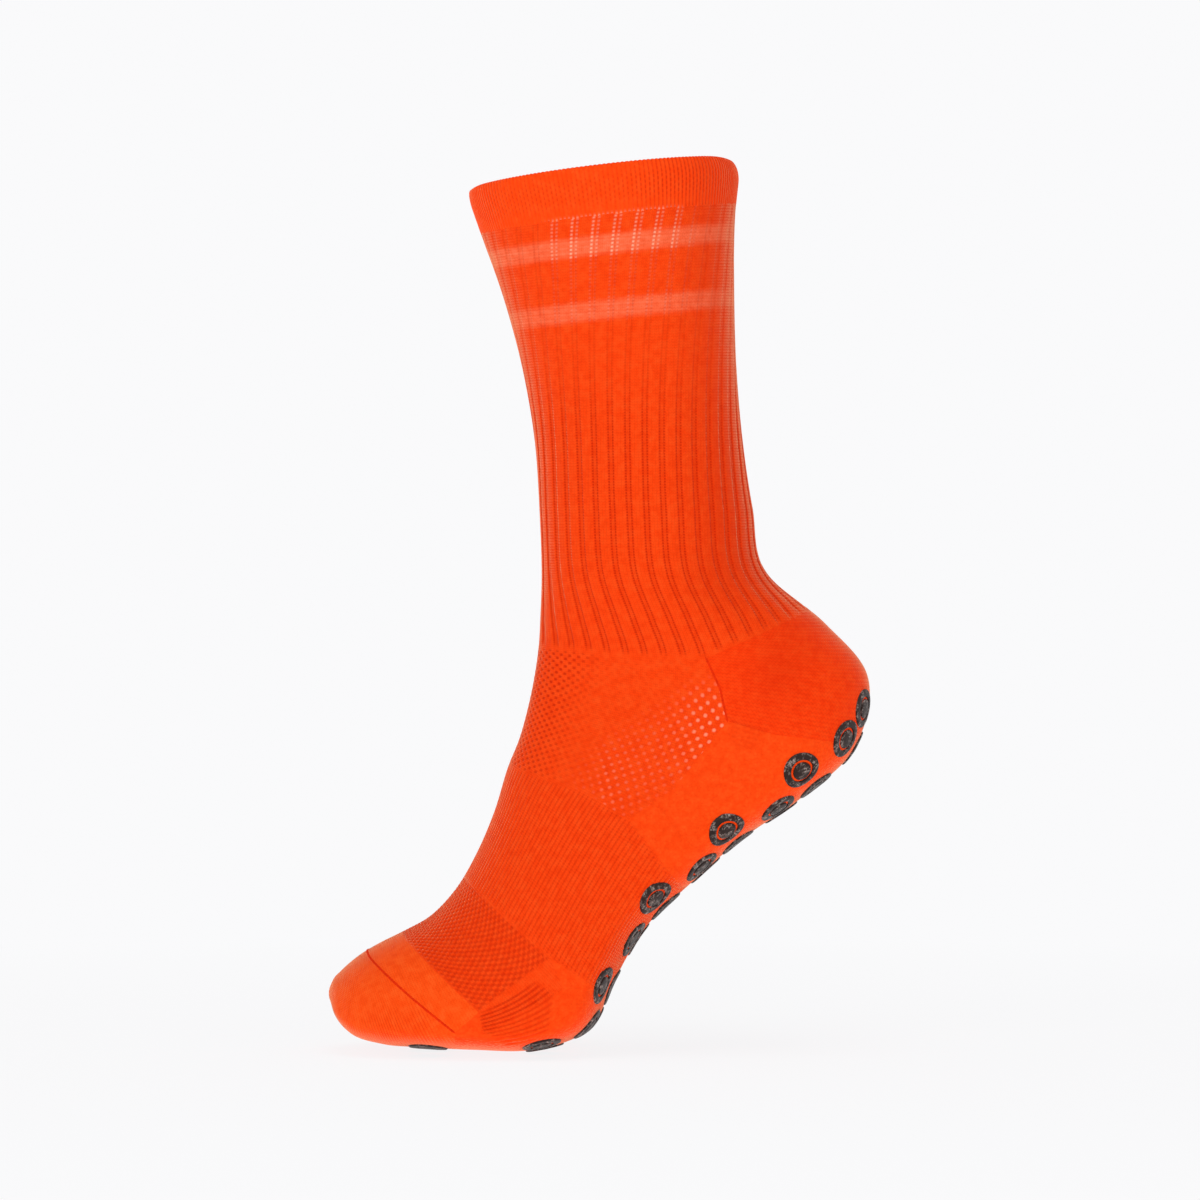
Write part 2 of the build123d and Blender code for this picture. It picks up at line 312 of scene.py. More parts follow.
    def place(self, turns: np.ndarray, along: np.ndarray) -> "Lattice":
        """Points of the outer face at shares of a turn and distances along.

        Args:
            turns: Shares of a turn from the sole line, of any shape.
            along: Distances along the sock, of the same shape.

        Returns:
            The points, as a lattice of that shape.
        """
        whole = np.floor(np.where(turns == 1, 0.5, turns))
        column = (turns - whole) * self.angles
        row = np.clip(along / self.length, 0, 1) * (len(self.rows) - 1)
        c, r = np.clip(column.astype(int), 0, self.angles - 1), np.clip(row.astype(int), 0, len(self.rows) - 2)
        u, v = column - c, row - r
        upper = self.angle_table[r, c] * (1 - u) + self.angle_table[r, c + 1] * u
        lower = self.angle_table[r + 1, c] * (1 - u) + self.angle_table[r + 1, c + 1] * u
        angles = upper * (1 - v) + lower * v
        front = np.stack([self.tracks["front_x"](along), self.tracks["front_z"](along)], -1)
        back = np.stack([self.tracks["back_x"](along), self.tracks["back_z"](along)], -1)
        depth = np.hypot(*np.moveaxis(back - front, -1, 0))
        sole, width = self.tracks["sole_depth"](along), self.tracks["half_width"](along)
        reach = np.where(np.cos(angles) > 0, sole, depth - sole)
        share = (depth - sole + reach * np.cos(angles)) / depth
        flat = front + share[..., None] * (back - front)
        points = np.stack([flat[..., 0], width * np.sin(angles), flat[..., 1]], -1)
        girth = np.interp(along, self.rows, self.girths)
        size = np.interp(along, self.rows, self.wale_sizes)
        twist = self.twist * (1 - np.clip(along / self.twist_end, 0, 1)) ** 1.6
        wales = self.wales / 2 + (turns - whole - 0.5) * girth / size - twist
        return Lattice(points, wales, turns, along)

    def drop(self, x: np.ndarray, z: np.ndarray) -> np.ndarray:
        """How far below the opening's middle the course through each point of the leg starts.

        Args:
            x: Places along X.
            z: Heights.

        Returns:
            Drops of the same shape.
        """
        below = -z
        for _ in range(2):
            below = -z + np.sin(np.radians(self.course_tilt * (1 - below / self.course_settle))) * x
        return below

    def frame(self, turns: np.ndarray, along: np.ndarray) -> tuple[np.ndarray, ...]:
        """Points of the outer face with their tangents.

        Args:
            turns: Shares of a turn, shape (count,).
            along: Distances along the sock, shape (count,).

        Returns:
            Points, movement for each turn, movement for each millimetre along, and outward directions.
        """
        tiny = 1e-3
        point = self.place(turns, along).points
        across = (self.place(turns + tiny, along).points - point) / tiny
        down = (self.place(turns, along + tiny * 100).points - point) / (tiny * 100)
        out = np.cross(down, across)
        return point, across, down, out / np.linalg.norm(out, axis=-1, keepdims=True)


@dataclass
class Lattice:
    """Points on the sock's face, with the wale of each, counted round from the back of the leg.

    Below the ankle a wale keeps its width and is counted from the front, as the heel is knitted in.
    """

    points: np.ndarray
    wales: np.ndarray
    turns: np.ndarray
    along: np.ndarray

    def normals(self) -> np.ndarray:
        """Outward directions of the lattice, from its neighbouring points."""
        across = np.gradient(self.points, axis=1)
        down = np.gradient(self.points, axis=0)
        normal = np.cross(down, across)
        outward = self.points - self.points.mean(axis=1, keepdims=True)
        if (normal * outward).sum() < 0:
            normal = -normal
        length = np.linalg.norm(normal, axis=-1, keepdims=True)
        return normal / np.maximum(length, 1e-9)


# ---- Outlines in the side view ----


def smooth_step(value: np.ndarray, low: float, high: float) -> np.ndarray:
    """0 below low, 1 above high, and a smooth rise between."""
    share = np.clip((value - low) / (high - low), 0, 1)
    return share * share * (3 - 2 * share)


def between(value: np.ndarray, rising: Point2, falling: Point2) -> np.ndarray:
    """1 between two edges, with a smooth rise over the first and a smooth fall over the second."""
    return smooth_step(value, *rising) * (1 - smooth_step(value, *falling))


def inside(outline: Sequence[Point2], x: np.ndarray, z: np.ndarray) -> np.ndarray:
    """Whether points of the side view lie in a closed outline.

    Args:
        outline: The closed outline.
        x: Places along X.
        z: Heights.

    Returns:
        An array of true and false.
    """
    found = np.zeros(x.shape, bool)
    for (ax, az), (bx, bz) in zip(outline, [*outline[1:], outline[0]]):
        crosses = (az > z) != (bz > z)
        with np.errstate(divide="ignore", invalid="ignore"):
            left = x < (bx - ax) * (z - az) / (bz - az if bz != az else 1e-12) + ax
        found ^= crosses & left
    return found


def distance_to(line: Sequence[Point2], x: np.ndarray, z: np.ndarray, close: bool = False) -> np.ndarray:
    """Distance in the side view from points to a line of straight runs.

    Args:
        line: The line's points.
        x: Places along X.
        z: Heights.
        close: Whether its end is joined to its start.

    Returns:
        Distances of the points' shape.
    """
    nearest = np.full(x.shape, 1e9)
    ends = [*line[1:], line[0]] if close else line[1:]
    for (ax, az), (bx, bz) in zip(line, ends):
        dx, dz = bx - ax, bz - az
        share = np.clip(((x - ax) * dx + (z - az) * dz) / (dx * dx + dz * dz), 0, 1)
        nearest = np.minimum(nearest, np.hypot(x - ax - share * dx, z - az - share * dz))
    return nearest


def side_of(line: Sequence[Point2], x: np.ndarray, z: np.ndarray) -> np.ndarray:
    """Distance in the side view to a line of straight runs, negative on its left.

    Args:
        line: The line's points.
        x: Places along X.
        z: Heights.

    Returns:
        Distances of the points' shape.
    """
    nearest, signed = np.full(x.shape, 1e9), np.zeros(x.shape)
    for (ax, az), (bx, bz) in zip(line, line[1:]):
        dx, dz = bx - ax, bz - az
        share = np.clip(((x - ax) * dx + (z - az) * dz) / (dx * dx + dz * dz), 0, 1)
        away = np.hypot(x - ax - share * dx, z - az - share * dz)
        sign = np.where((x - ax) * dz - (z - az) * dx < 0, -1.0, 1.0)
        signed = np.where(away < nearest, sign * away, signed)
        nearest = np.minimum(nearest, away)
    return signed


class Knit(Enum):
    """The ways the sock is knitted."""

    WIDE_RIB = "wide rib"
    MESH = "instep mesh"
    FINE_RIB = "fine rib"
    OPEN_MESH = "open mesh"
    HEEL = "heel jersey"
    TERRY = "terry sole"
    GATHER = "side gathers"
    TOE = "toe jersey"


@dataclass(frozen=True)
class KnitGauge:
    """How many stitches the machine knits and how deep each kind of knit stands, in wales and millimetres."""

    wales: int = WALES
    rib_wales: int = 5
    rib_depth: float = 0.42
    rib_fade: float = 3.0
    pit_wales: float = 2.6
    pit_rows: float = 2.1
    pit_depth: float = 0.24
    eyelet_wales: float = 3.1
    eyelet_rows: float = 2.5
    fine_wales: float = 1.4
    fine_depth: float = 0.20
    open_wales: float = 1.85
    open_rows: float = 1.95
    open_depth: float = 0.30
    fine_course: float = 1.3
    ladder_course: float = 1.5
    streak_course: float = 1.9
    pleat_depth: float = 0.42
    heel_pleats: float = 0.5
    edge_fade: float = 1.2


@dataclass(frozen=True)
class Pleats:
    """A patch of short folds in the side view: its corners and the way that the folds run."""

    corners: tuple[Point2, ...]
    start: Point2
    way: Point2
    pitch: float
    bow: float
    fan: float = 0.0
    soft: float = 2.0

    def folds(self, x: np.ndarray, z: np.ndarray) -> tuple[np.ndarray, np.ndarray]:
        """Which fold each point is on, counted across them, and how strongly the patch shows there.

        Args:
            x: Places along X.
            z: Heights.

        Returns:
            The folds' numbers and the strengths, of the same shape.
        """
        length = math.hypot(*self.way)
        along_x, along_z = self.way[0] / length, self.way[1] / length
        run = ((x - self.start[0]) * along_x + (z - self.start[1]) * along_z) / length
        across = (x - self.start[0]) * along_z - (z - self.start[1]) * along_x
        bowed = (across + self.bow * 4 * run * (1 - run)) / (1 + self.fan * run)
        edge = distance_to(self.corners, x, z, close=True)
        shown = smooth_step(edge, 0.0, self.soft) * inside(self.corners, x, z)
        return bowed / self.pitch, shown

    def valley(self, x: np.ndarray, z: np.ndarray) -> np.ndarray:
        """1 at the bottom of each fold's valley, falling to 0 on its ridges.

        Args:
            x: Places along X.
            z: Heights.

        Returns:
            Numbers of the same shape.
        """
        number, shown = self.folds(x, z)
        off = np.abs((number + 0.5) % 1 - 0.5) * 2
        return (1 - smooth_step(off, 0.1, 0.8)) * shown


@dataclass(frozen=True)
class Crease:
    """A short soft crease between two points of the side view."""

    start: Point2
    end: Point2
    width: float
    depth: float

    def height(self, x: np.ndarray, z: np.ndarray) -> np.ndarray:
        """How far the crease moves each point, with a low ridge beside its valley."""
        off = distance_to([self.start, self.end], x, z) / self.width
        return -self.depth * np.exp(-(off**2)) + 0.35 * self.depth * np.exp(-((off - 1.8) ** 2))


TOE_PLEATS = Pleats(
    corners=((-49.5, -329.5), (-27.0, -316.5), (-18.5, -321.5), (-20.5, -337.8), (-36.5, -344.0), (-48.0, -337.5)),
    start=(-47.0, -330.5), way=(20.9, 10.9), pitch=1.5, bow=-1.1, fan=0.42,
)
HEEL_PLEATS = Pleats(
    corners=((47.5, -211.0), (66.0, -217.5), (62.0, -229.5), (49.0, -226.0)),
    start=(48.0, -215.0), way=(17.0, -5.5), pitch=1.9, bow=-1.4, soft=3.0,
)
CREASES = (
    Crease((19.8, -246.5), (24.0, -250.0), 1.1, 0.45),
    Crease((12.6, -254.6), (21.0, -261.5), 1.4, 0.30),
    Crease((24.0, -251.0), (34.4, -262.0), 1.5, 0.25),
    Crease((13.0, -268.0), (30.0, -272.4), 1.6, 0.22),
)


@dataclass
class Relief:
    """Height of the knit above the sock's form, as one field for the whole sock."""

    form: SockForm
    gauge: KnitGauge
    crease_sides: Point2 = (12, 24)
    pleat_sides: Point2 = (22, 32)
    rib_settles: Point2 = (66.0, 108.0)
    rib_crown: float = 0.30
    rib_middle: float = 0.35

    def height(self, knit: Knit, lattice: Lattice, outline: Sequence[Point2]) -> np.ndarray:
        """How far each lattice point stands out, in millimetres.

        Args:
            knit: The way this panel is knitted.
            lattice: Its points.
            outline: Its outline in the side view.

        Returns:
            Heights of the lattice's shape.
        """
        x, y, z = np.moveaxis(lattice.points, -1, 0)
        makers: dict[Knit, Callable[[Lattice], np.ndarray]] = {
            Knit.WIDE_RIB: self.wide_rib,
            Knit.MESH: self.mesh,
            Knit.FINE_RIB: self.fine_rib,
            Knit.OPEN_MESH: self.open_mesh,
        }
        total = -self.gauge.pleat_depth * self.valleys(lattice)
        creased = sum(crease.height(x, z) for crease in CREASES)
        total = total + smooth_step(np.abs(y), *self.crease_sides) * creased
        if knit in makers:
            total = total + makers[knit](lattice) * self.fade(knit, x, z, outline)
        return total

    def valleys(self, lattice: Lattice) -> np.ndarray:
        """1 along the valleys of the short folds on the sides of the toe and the heel.

        Args:
            lattice: Points of the sock's face.

        Returns:
            Numbers of the lattice's shape.
        """
        x, y, z = np.moveaxis(lattice.points, -1, 0)
        toe = smooth_step(np.abs(y), *self.pleat_sides) * TOE_PLEATS.valley(x, z)
        return toe + self.gauge.heel_pleats * HEEL_PLEATS.valley(x, z)

    def fade(self, knit: Knit, x: np.ndarray, z: np.ndarray, outline: Sequence[Point2]) -> np.ndarray:
        """How strongly a panel's own pattern shows, falling to 0 where its kind of knit ends."""
        if knit is Knit.WIDE_RIB:
            point = self.form.foot_point
            lower = [point(-0.118, 0.158), point(0.204, 0.185), point(0.308, 0.244), point(0.716, 0.526)]
            settled = 0.4 + 0.6 * smooth_step(-z, *self.rib_settles)
            return settled * smooth_step(distance_to(lower, x, z), 0.0, self.gauge.rib_fade)
        return smooth_step(distance_to(outline, x, z, close=True), 0.0, self.gauge.edge_fade)

    def wide_rib(self, lattice: Lattice) -> np.ndarray:
        """Ribs of four raised wales, with one wale between them sunk in.

        Args:
            lattice: Points of the sock's face.

        Returns:
            Heights of the lattice's shape.
        """
        ribs = self.gauge.rib_wales
        near = np.abs((lattice.wales / ribs + 0.5) % 1 - 0.5) * ribs
        crown = self.rib_crown * (1 - (near * 2 / ribs - 1) ** 2)
        sunk = 1 - smooth_step(near, 0.45, 1.1)
        middle = self.rib_middle * (1 - smooth_step(near, 0.0, 0.5))
        return self.gauge.rib_depth * (crown + middle - sunk)

    def cells(self, lattice: Lattice, wales: float, rows: float) -> np.ndarray:
        """A wave that is 1 in the middle of each staggered cell and -1 between cells."""
        across = (lattice.wales - self.gauge.wales / 2) / wales
        return np.cos(2 * math.pi * across) * np.cos(math.pi * lattice.along / rows)

    def mesh(self, lattice: Lattice) -> np.ndarray:
        """A net with small pits in its cells."""
        cells = self.cells(lattice, self.gauge.pit_wales, self.gauge.pit_rows)
        return -self.gauge.pit_depth * smooth_step(cells, 0.0, 0.9)

    def fine_rib(self, lattice: Lattice) -> np.ndarray:
        """Narrow ribs along the foot.

        Args:
            lattice: Points of the sock's face.

        Returns:
            Heights of the lattice's shape.
        """
        phase = (lattice.wales - self.gauge.wales / 2) / self.gauge.fine_wales
        near = np.abs((phase + 0.5) % 1 - 0.5) * 2
        return -self.gauge.fine_depth * (1 - smooth_step(near, 0.0, 0.75))

    def open_mesh(self, lattice: Lattice) -> np.ndarray:
        """Wider pits in staggered rows."""
        cells = self.cells(lattice, self.gauge.open_wales, self.gauge.open_rows)
        return -self.gauge.open_depth * smooth_step(cells, -0.6, 0.7)


# ---- Shader maths ----


class Value:
    """A number in a material, with Python's arithmetic."""

    def __init__(self, nodes: "Nodes", socket: bpy.types.NodeSocket) -> None:
        """Wrap a socket that gives a number."""
        self.nodes, self.socket = nodes, socket

    def maths(self, operation: str, *others: "Value | float") -> "Value":
        """One Math node with this value as its first number."""
        return self.nodes.maths(operation, self, *others)

    def __add__(self, other: "Value | float") -> "Value":
        """Sum."""
        return self.maths("ADD", other)

    def __radd__(self, other: float) -> "Value":
        """Sum, with a number first."""
        return self.maths("ADD", other)

    def __sub__(self, other: "Value | float") -> "Value":
        """Difference."""
        return self.maths("SUBTRACT", other)

    def __rsub__(self, other: float) -> "Value":
        """Difference, with a number first."""
        return self.nodes.maths("SUBTRACT", other, self)

    def __mul__(self, other: "Value | float") -> "Value":
        """Product."""
        return self.maths("MULTIPLY", other)

    def __truediv__(self, other: "Value | float") -> "Value":
        """Quotient."""
        return self.maths("DIVIDE", other)

    def fract(self) -> "Value":
        """The part after the whole number."""
        return self.maths("FRACT")

    def whole(self) -> "Value":
        """The whole number below."""
        return self.maths("FLOOR")

    def absolute(self) -> "Value":
        """The size without the sign."""
        return self.maths("ABSOLUTE")

    def sine(self) -> "Value":
        """Sine of this angle in radians."""
        return self.maths("SINE")

    def rise(self, low: float, high: float) -> "Value":
        """0 below low, 1 above high, and a smooth rise between."""
        return self.nodes.ease(self, low, high)

    def to_whole(self) -> "Value":
        """Distance to the nearest whole number, from 0 to 0.5."""
        return 0.5 - (self.fract() - 0.5).absolute()


class Nodes:
    """A node tree whose nodes are made through one method and through arithmetic on values."""

    def __init__(self, owner: bpy.types.Material | bpy.types.World) -> None:
        """Start from the owner's node tree, emptied.

        Args:
            owner: The material or the world.
        """
        owner.use_nodes = True
        self.tree = owner.node_tree
        self.tree.nodes.clear()

    def link(self, source: bpy.types.NodeSocket, target: bpy.types.NodeSocket) -> None:
        """Join two sockets."""
        self.tree.links.new(source, target)

    def node(self, kind: str, settings: dict, inputs: dict) -> bpy.types.Node:
        """Add a node.

        Args:
            kind: The node's type name.
            settings: The node's properties, which are set first.
            inputs: Values, links or Value objects by socket name or number.

        Returns:
            The node.
        """
        made = self.tree.nodes.new(kind)
        for key, value in settings.items():
            setattr(made, key, value)
        for key, value in inputs.items():
            self.feed(made.inputs[key], value)
        return made

    def feed(self, socket: bpy.types.NodeSocket, value: object) -> None:
        """Give a socket a constant, a socket or a Value."""
        if isinstance(value, Value):
            self.link(value.socket, socket)
        elif isinstance(value, bpy.types.NodeSocket):
            self.link(value, socket)
        else:
            socket.default_value = value

    def maths(self, operation: str, *numbers: Value | float) -> Value:
        """One Math node."""
        made = self.node("ShaderNodeMath", {"operation": operation}, dict(enumerate(numbers)))
        return Value(self, made.outputs[0])

    def ease(self, value: Value, low: float, high: float) -> Value:
        """A smooth rise from 0 at low to 1 at high."""
        made = self.node(
            "ShaderNodeMapRange",
            {"interpolation_type": "SMOOTHSTEP"},
            {"Value": value, "From Min": low, "From Max": high},
        )
        return Value(self, made.outputs["Result"])


class Shader(Nodes):
    """A material with a Principled surface, and the patterns that it is dressed with."""

    def __init__(self, name: str) -> None:
        """Start a material of its own.

        Args:
            name: Its name.
        """
        self.material = bpy.data.materials.new(name)
        super().__init__(self.material)
        self.surface = self.node("ShaderNodeBsdfPrincipled", {}, {})
        self.node("ShaderNodeOutputMaterial", {}, {"Surface": self.surface.outputs["BSDF"]})

    def set(self, name: str, value: object) -> None:
        """Give one of the surface's own sockets a constant or a value."""
        self.feed(self.surface.inputs[name], value)

    def attribute(self, name: str) -> Value:
        """A number stored on the piece's points."""
        made = self.node("ShaderNodeAttribute", {"attribute_name": name}, {})
        return Value(self, made.outputs["Fac"])

    def knit_map(self) -> tuple[Value, Value]:
        """The wale and the run of the knitting, from the piece's UV map."""
        place = self.node("ShaderNodeUVMap", {"uv_map": "Knit"}, {})
        split = self.node("ShaderNodeSeparateXYZ", {}, {0: place.outputs["UV"]})
        return Value(self, split.outputs["X"]), Value(self, split.outputs["Y"])

    def object_place(self) -> bpy.types.NodeSocket:
        """The point on the piece, in metres."""
        return self.node("ShaderNodeTexCoord", {}, {}).outputs["Object"]

    def noise(self, scale: float, detail: float = 3.0, roughness: float = 0.5) -> Value:
        """Soft noise over the object, from 0 to 1.

        Args:
            scale: Lumps per metre.
            detail: Finer octaves.
            roughness: How strong those are.

        Returns:
            The noise.
        """
        made = self.node(
            "ShaderNodeTexNoise",
            {},
            {"Vector": self.object_place(), "Scale": scale, "Detail": detail, "Roughness": roughness},
        )
        return Value(self, made.outputs[0])

    def blend(self, factor: Value | float, first: object, second: object) -> bpy.types.NodeSocket:
        """Two colours mixed by a factor."""
        made = self.node("ShaderNodeMix", {"data_type": "RGBA"}, {0: factor, 6: first, 7: second})
        return made.outputs[2]

    def bump(self, height: Value, depth: float) -> None:
        """Raise the surface by a height from 0 to 1 times a depth in metres."""
        made = self.node("ShaderNodeBump", {}, {"Height": height, "Distance": depth, "Strength": 1.0})
        self.set("Normal", made.outputs["Normal"])


def colour(red: float, green: float, blue: float) -> Colour:
    """An opaque colour from its screen values of 0 to 255."""
    return (*(((v / 255 + 0.055) / 1.055) ** 2.4 if v > 10 else v / 255 / 12.92 for v in (red, green, blue)), 1.0)


@dataclass(frozen=True)
class YarnTone:
    """The colours of one yarn: its face, its gap colour for painted shade in recesses, folds and shaded places and
    for dark flecks, and its pale flecks.
    """

    face: Colour
    gap: Colour
    light: Colour
    # How far the painted shade deepens a colour towards the gap colour.
    depth: float = 0.55

    def shaded(self, shader: Shader, tone: bpy.types.NodeSocket) -> bpy.types.NodeSocket:
        """A colour with painted shade, deepened towards the gap colour where the piece's shade mask is strong."""
        return shader.blend(shader.attribute("shade"), tone, shader.blend(self.depth, tone, self.gap))


ORANGE = YarnTone(colour(244, 66, 8), colour(188, 30, 1), colour(250, 102, 38))
CORAL = YarnTone(colour(249, 107, 66), colour(218, 68, 34), colour(255, 156, 118))
HEEL_ORANGE = YarnTone(colour(238, 56, 4), colour(180, 26, 1), colour(248, 92, 30))
SOLE_ORANGE = YarnTone(colour(243, 67, 9), colour(206, 42, 2), colour(251, 104, 36))
# Painted light: toe yarn paler and yellower than the leg's, standing in for light from below on the toe.
LIT_TOE_ORANGE = YarnTone(colour(244, 76, 12), colour(200, 38, 2), colour(252, 118, 48))
# Painted light: the pale colour of light seen through the knit's openings.
SEEN_THROUGH_LIGHT = colour(255, 196, 164)


@dataclass(frozen=True)
class Fuzz:
    """The pale halo of loose fibres, seen along the edges of the knit."""

    weight: float = 1.0
    roughness: float = 0.26
    tint: Colour = colour(255, 202, 158)
    nap_scale: float = 1500.0
    nap_height: float = 0.2

    def dress(self, shader: Shader) -> None:
        """Give a material's surface its matt yarn and its halo.

        Args:
            shader: The material.
        """
        shader.set("Roughness", 0.86)
        shader.set("Specular IOR Level", 0.05)
        shader.set("Sheen Weight", self.weight)
        shader.set("Sheen Roughness", self.roughness)
        shader.set("Sheen Tint", self.tint)

    def nap(self, shader: Shader) -> Value:
        """The height of the finest loose fibres."""
        return shader.noise(self.nap_scale, 2.0) * self.nap_height


@dataclass(frozen=True)
class Dye:
    """How unevenly the yarn took its dye: paler and darker flecks."""

    scale: float = 330.0
    pale: float = 0.30
    dark: float = 0.18

    def flecks(self, shader: Shader, face: object, light: object, gap: object) -> bpy.types.NodeSocket:
        """The yarn's colour with its flecks.

        Args:
            shader: The material.
            face: The yarn's colour.
            light: The colour of its pale flecks.
            gap: The colour of its dark flecks.

        Returns:
            The colour's socket.
        """
        mottle = shader.noise(self.scale, 4.0, 0.65)
        tone = shader.blend(mottle.rise(0.35, 0.8) * self.pale, face, light)
        return shader.blend(mottle.rise(0.55, 0.2) * self.dark, tone, gap) if self.dark else tone


@dataclass(frozen=True)
class KnitFinish:
    """Knitted yarn, with the stitches of one kind of knit."""

    name: str
    knit: Knit
    yarn: YarnTone
    stripe: YarnTone = CORAL
    gauge: KnitGauge = KnitGauge()
    course: float = 1.1
    stitch_depth: float = 0.00011
    dye: Dye = Dye()
    fuzz: Fuzz = Fuzz()

    def build(self) -> bpy.types.Material:
        """Make the material."""
        shader = Shader(self.name)
        wale, along = shader.knit_map()
        stitch = self.stitches(shader, wale, along)
        face, light = self.yarn.face, self.yarn.light
        if self.knit is Knit.WIDE_RIB:
            streak = (along / self.gauge.streak_course).to_whole() * 0.6 + 0.7
            coral = (shader.attribute("stripe") * streak).maths("MINIMUM", 1.0)
            face, light = shader.blend(coral, face, self.stripe.face), shader.blend(coral, light, self.stripe.light)
        tone = self.dye.flecks(shader, face, light, self.yarn.gap)
        # Painted shade in the low places between the stitches.
        tone = shader.blend((1 - stitch) * 0.22, tone, self.yarn.gap)
        tone = shader.blend(self.gaps(shader, wale, along), tone, self.yarn.gap)
        # Painted light seen through the knit's openings.
        tone = shader.blend(self.lights(shader, wale, along), tone, SEEN_THROUGH_LIGHT)
        # Painted shade in the valleys of the short folds.
        tone = shader.blend(shader.attribute("valley") * 0.55, tone, self.yarn.gap)
        # Painted shade from the piece's shade mask.
        shader.set("Base Color", self.yarn.shaded(shader, tone))
        self.fuzz.dress(shader)
        shader.bump(stitch + self.fuzz.nap(shader), self.stitch_depth)
        return shader.material

    def stitches(self, shader: Shader, wale: Value, along: Value) -> Value:
        """Height of the yarn over one stitch: two legs of a V in each wale and course.

        Args:
            shader: The material.
            wale: The wale at each point.
            along: The run of the knitting.

        Returns:
            The height.
        """
        if self.knit is Knit.TERRY:
            loops = shader.node(
                "ShaderNodeTexVoronoi",
                {"feature": "F1"},
                {"Vector": shader.object_place(), "Scale": 800.0, "Randomness": 0.8},
            )
            return 1 - Value(shader, loops.outputs["Distance"]).rise(0.1, 0.8)
        across = (wale.fract() - 0.5).absolute()
        leg = 1 - (across - 0.25).absolute() * 4
        course = (along / self.course + across * 0.9).to_whole() * 2
        if self.knit in (Knit.HEEL, Knit.TOE):
            return course.rise(0.0, 0.7) * 0.8 + leg.rise(-0.2, 0.9) * 0.2
        return leg.rise(-0.2, 0.9) * course.rise(0.0, 0.7)

    def gaps(self, shader: Shader, wale: Value, along: Value) -> Value:
        """Where the knit opens or sinks and its shadow shows, from 0 to 1.

        Args:
            shader: The material.
            wale: The wale at each point.
            along: The run of the knitting.

        Returns:
            The strength.
        """
        gauge, fade = self.gauge, shader.attribute("fade")
        front = wale - gauge.wales / 2
        if self.knit is Knit.WIDE_RIB:
            near = (wale / gauge.rib_wales).to_whole() * gauge.rib_wales
            lines = 1 - (near - 0.66).absolute().rise(0.08, 0.42)
            between = (1 - near.rise(0.5, 0.9)) * 0.16
            dashes = (along / self.course).to_whole().rise(0.1, 0.34)
            faint = (1 - (wale.to_whole() * 2).rise(0.0, 0.6)) * 0.12
            furrow = (lines * (0.4 + dashes * 0.6) * 0.8).maths("MAXIMUM", between)
            return furrow.maths("MAXIMUM", faint) * fade
        if self.knit is Knit.MESH:
            return self.cells(front / gauge.pit_wales, along / gauge.pit_rows, -0.1, 0.95) * fade * 0.7
        if self.knit is Knit.OPEN_MESH:
            return (self.cells(front / gauge.open_wales, along / gauge.open_rows, -0.7, 0.6) * 0.46 + 0.04) * fade
        if self.knit is Knit.FINE_RIB:
            near = (front / gauge.fine_wales).to_whole() * 2
            dots = (along / gauge.fine_course).to_whole() * 2
            return (1 - near.rise(0.05, 0.6)) * (0.4 + dots * 0.6) * fade * 0.5
        if self.knit is Knit.TOE:
            return (1 - ((along / gauge.fine_course).to_whole() * 2).rise(0.0, 0.7)) * fade * 0.5
        return fade * 0.0

    def cells(self, across: Value, down: Value, low: float, high: float) -> Value:
        """The middles of staggered cells, from 0 to 1.

        Args:
            across: Cells counted across.
            down: Cells counted down.
            low: The wave's height where a cell starts.
            high: Its height where it is full.

        Returns:
            The strength.
        """
        quarter = math.pi / 2
        wave = (across * 2 * math.pi + quarter).sine() * (down * math.pi + quarter).sine()
        return wave.rise(low, high)

    def lights(self, shader: Shader, wale: Value, along: Value) -> Value:
        """Small pale spots of painted light, seen through the knit's openings, from 0 to 1.

        Args:
            shader: The material.
            wale: The wale at each point.
            along: The run of the knitting.

        Returns:
            The strength.
        """
        gauge, spots = self.gauge, shader.attribute("spots")
        if self.knit is Knit.WIDE_RIB:
            near = (wale / gauge.rib_wales).to_whole() * gauge.rib_wales
            stronger = (wale / gauge.rib_wales).fract().rise(0.45, 0.55) * 0.45 + 0.55
            rung = (along / gauge.ladder_course).to_whole().rise(0.1, 0.42) * 0.85 + 0.15
            return (1 - (near - 0.62).absolute().rise(0.05, 0.5)) * rung * stronger * spots
        if self.knit is Knit.MESH:
            front = wale - gauge.wales / 2
            return self.cells(front / gauge.eyelet_wales, along / gauge.eyelet_rows, 0.25, 1.0) * spots * 0.62
        return spots * 0.0


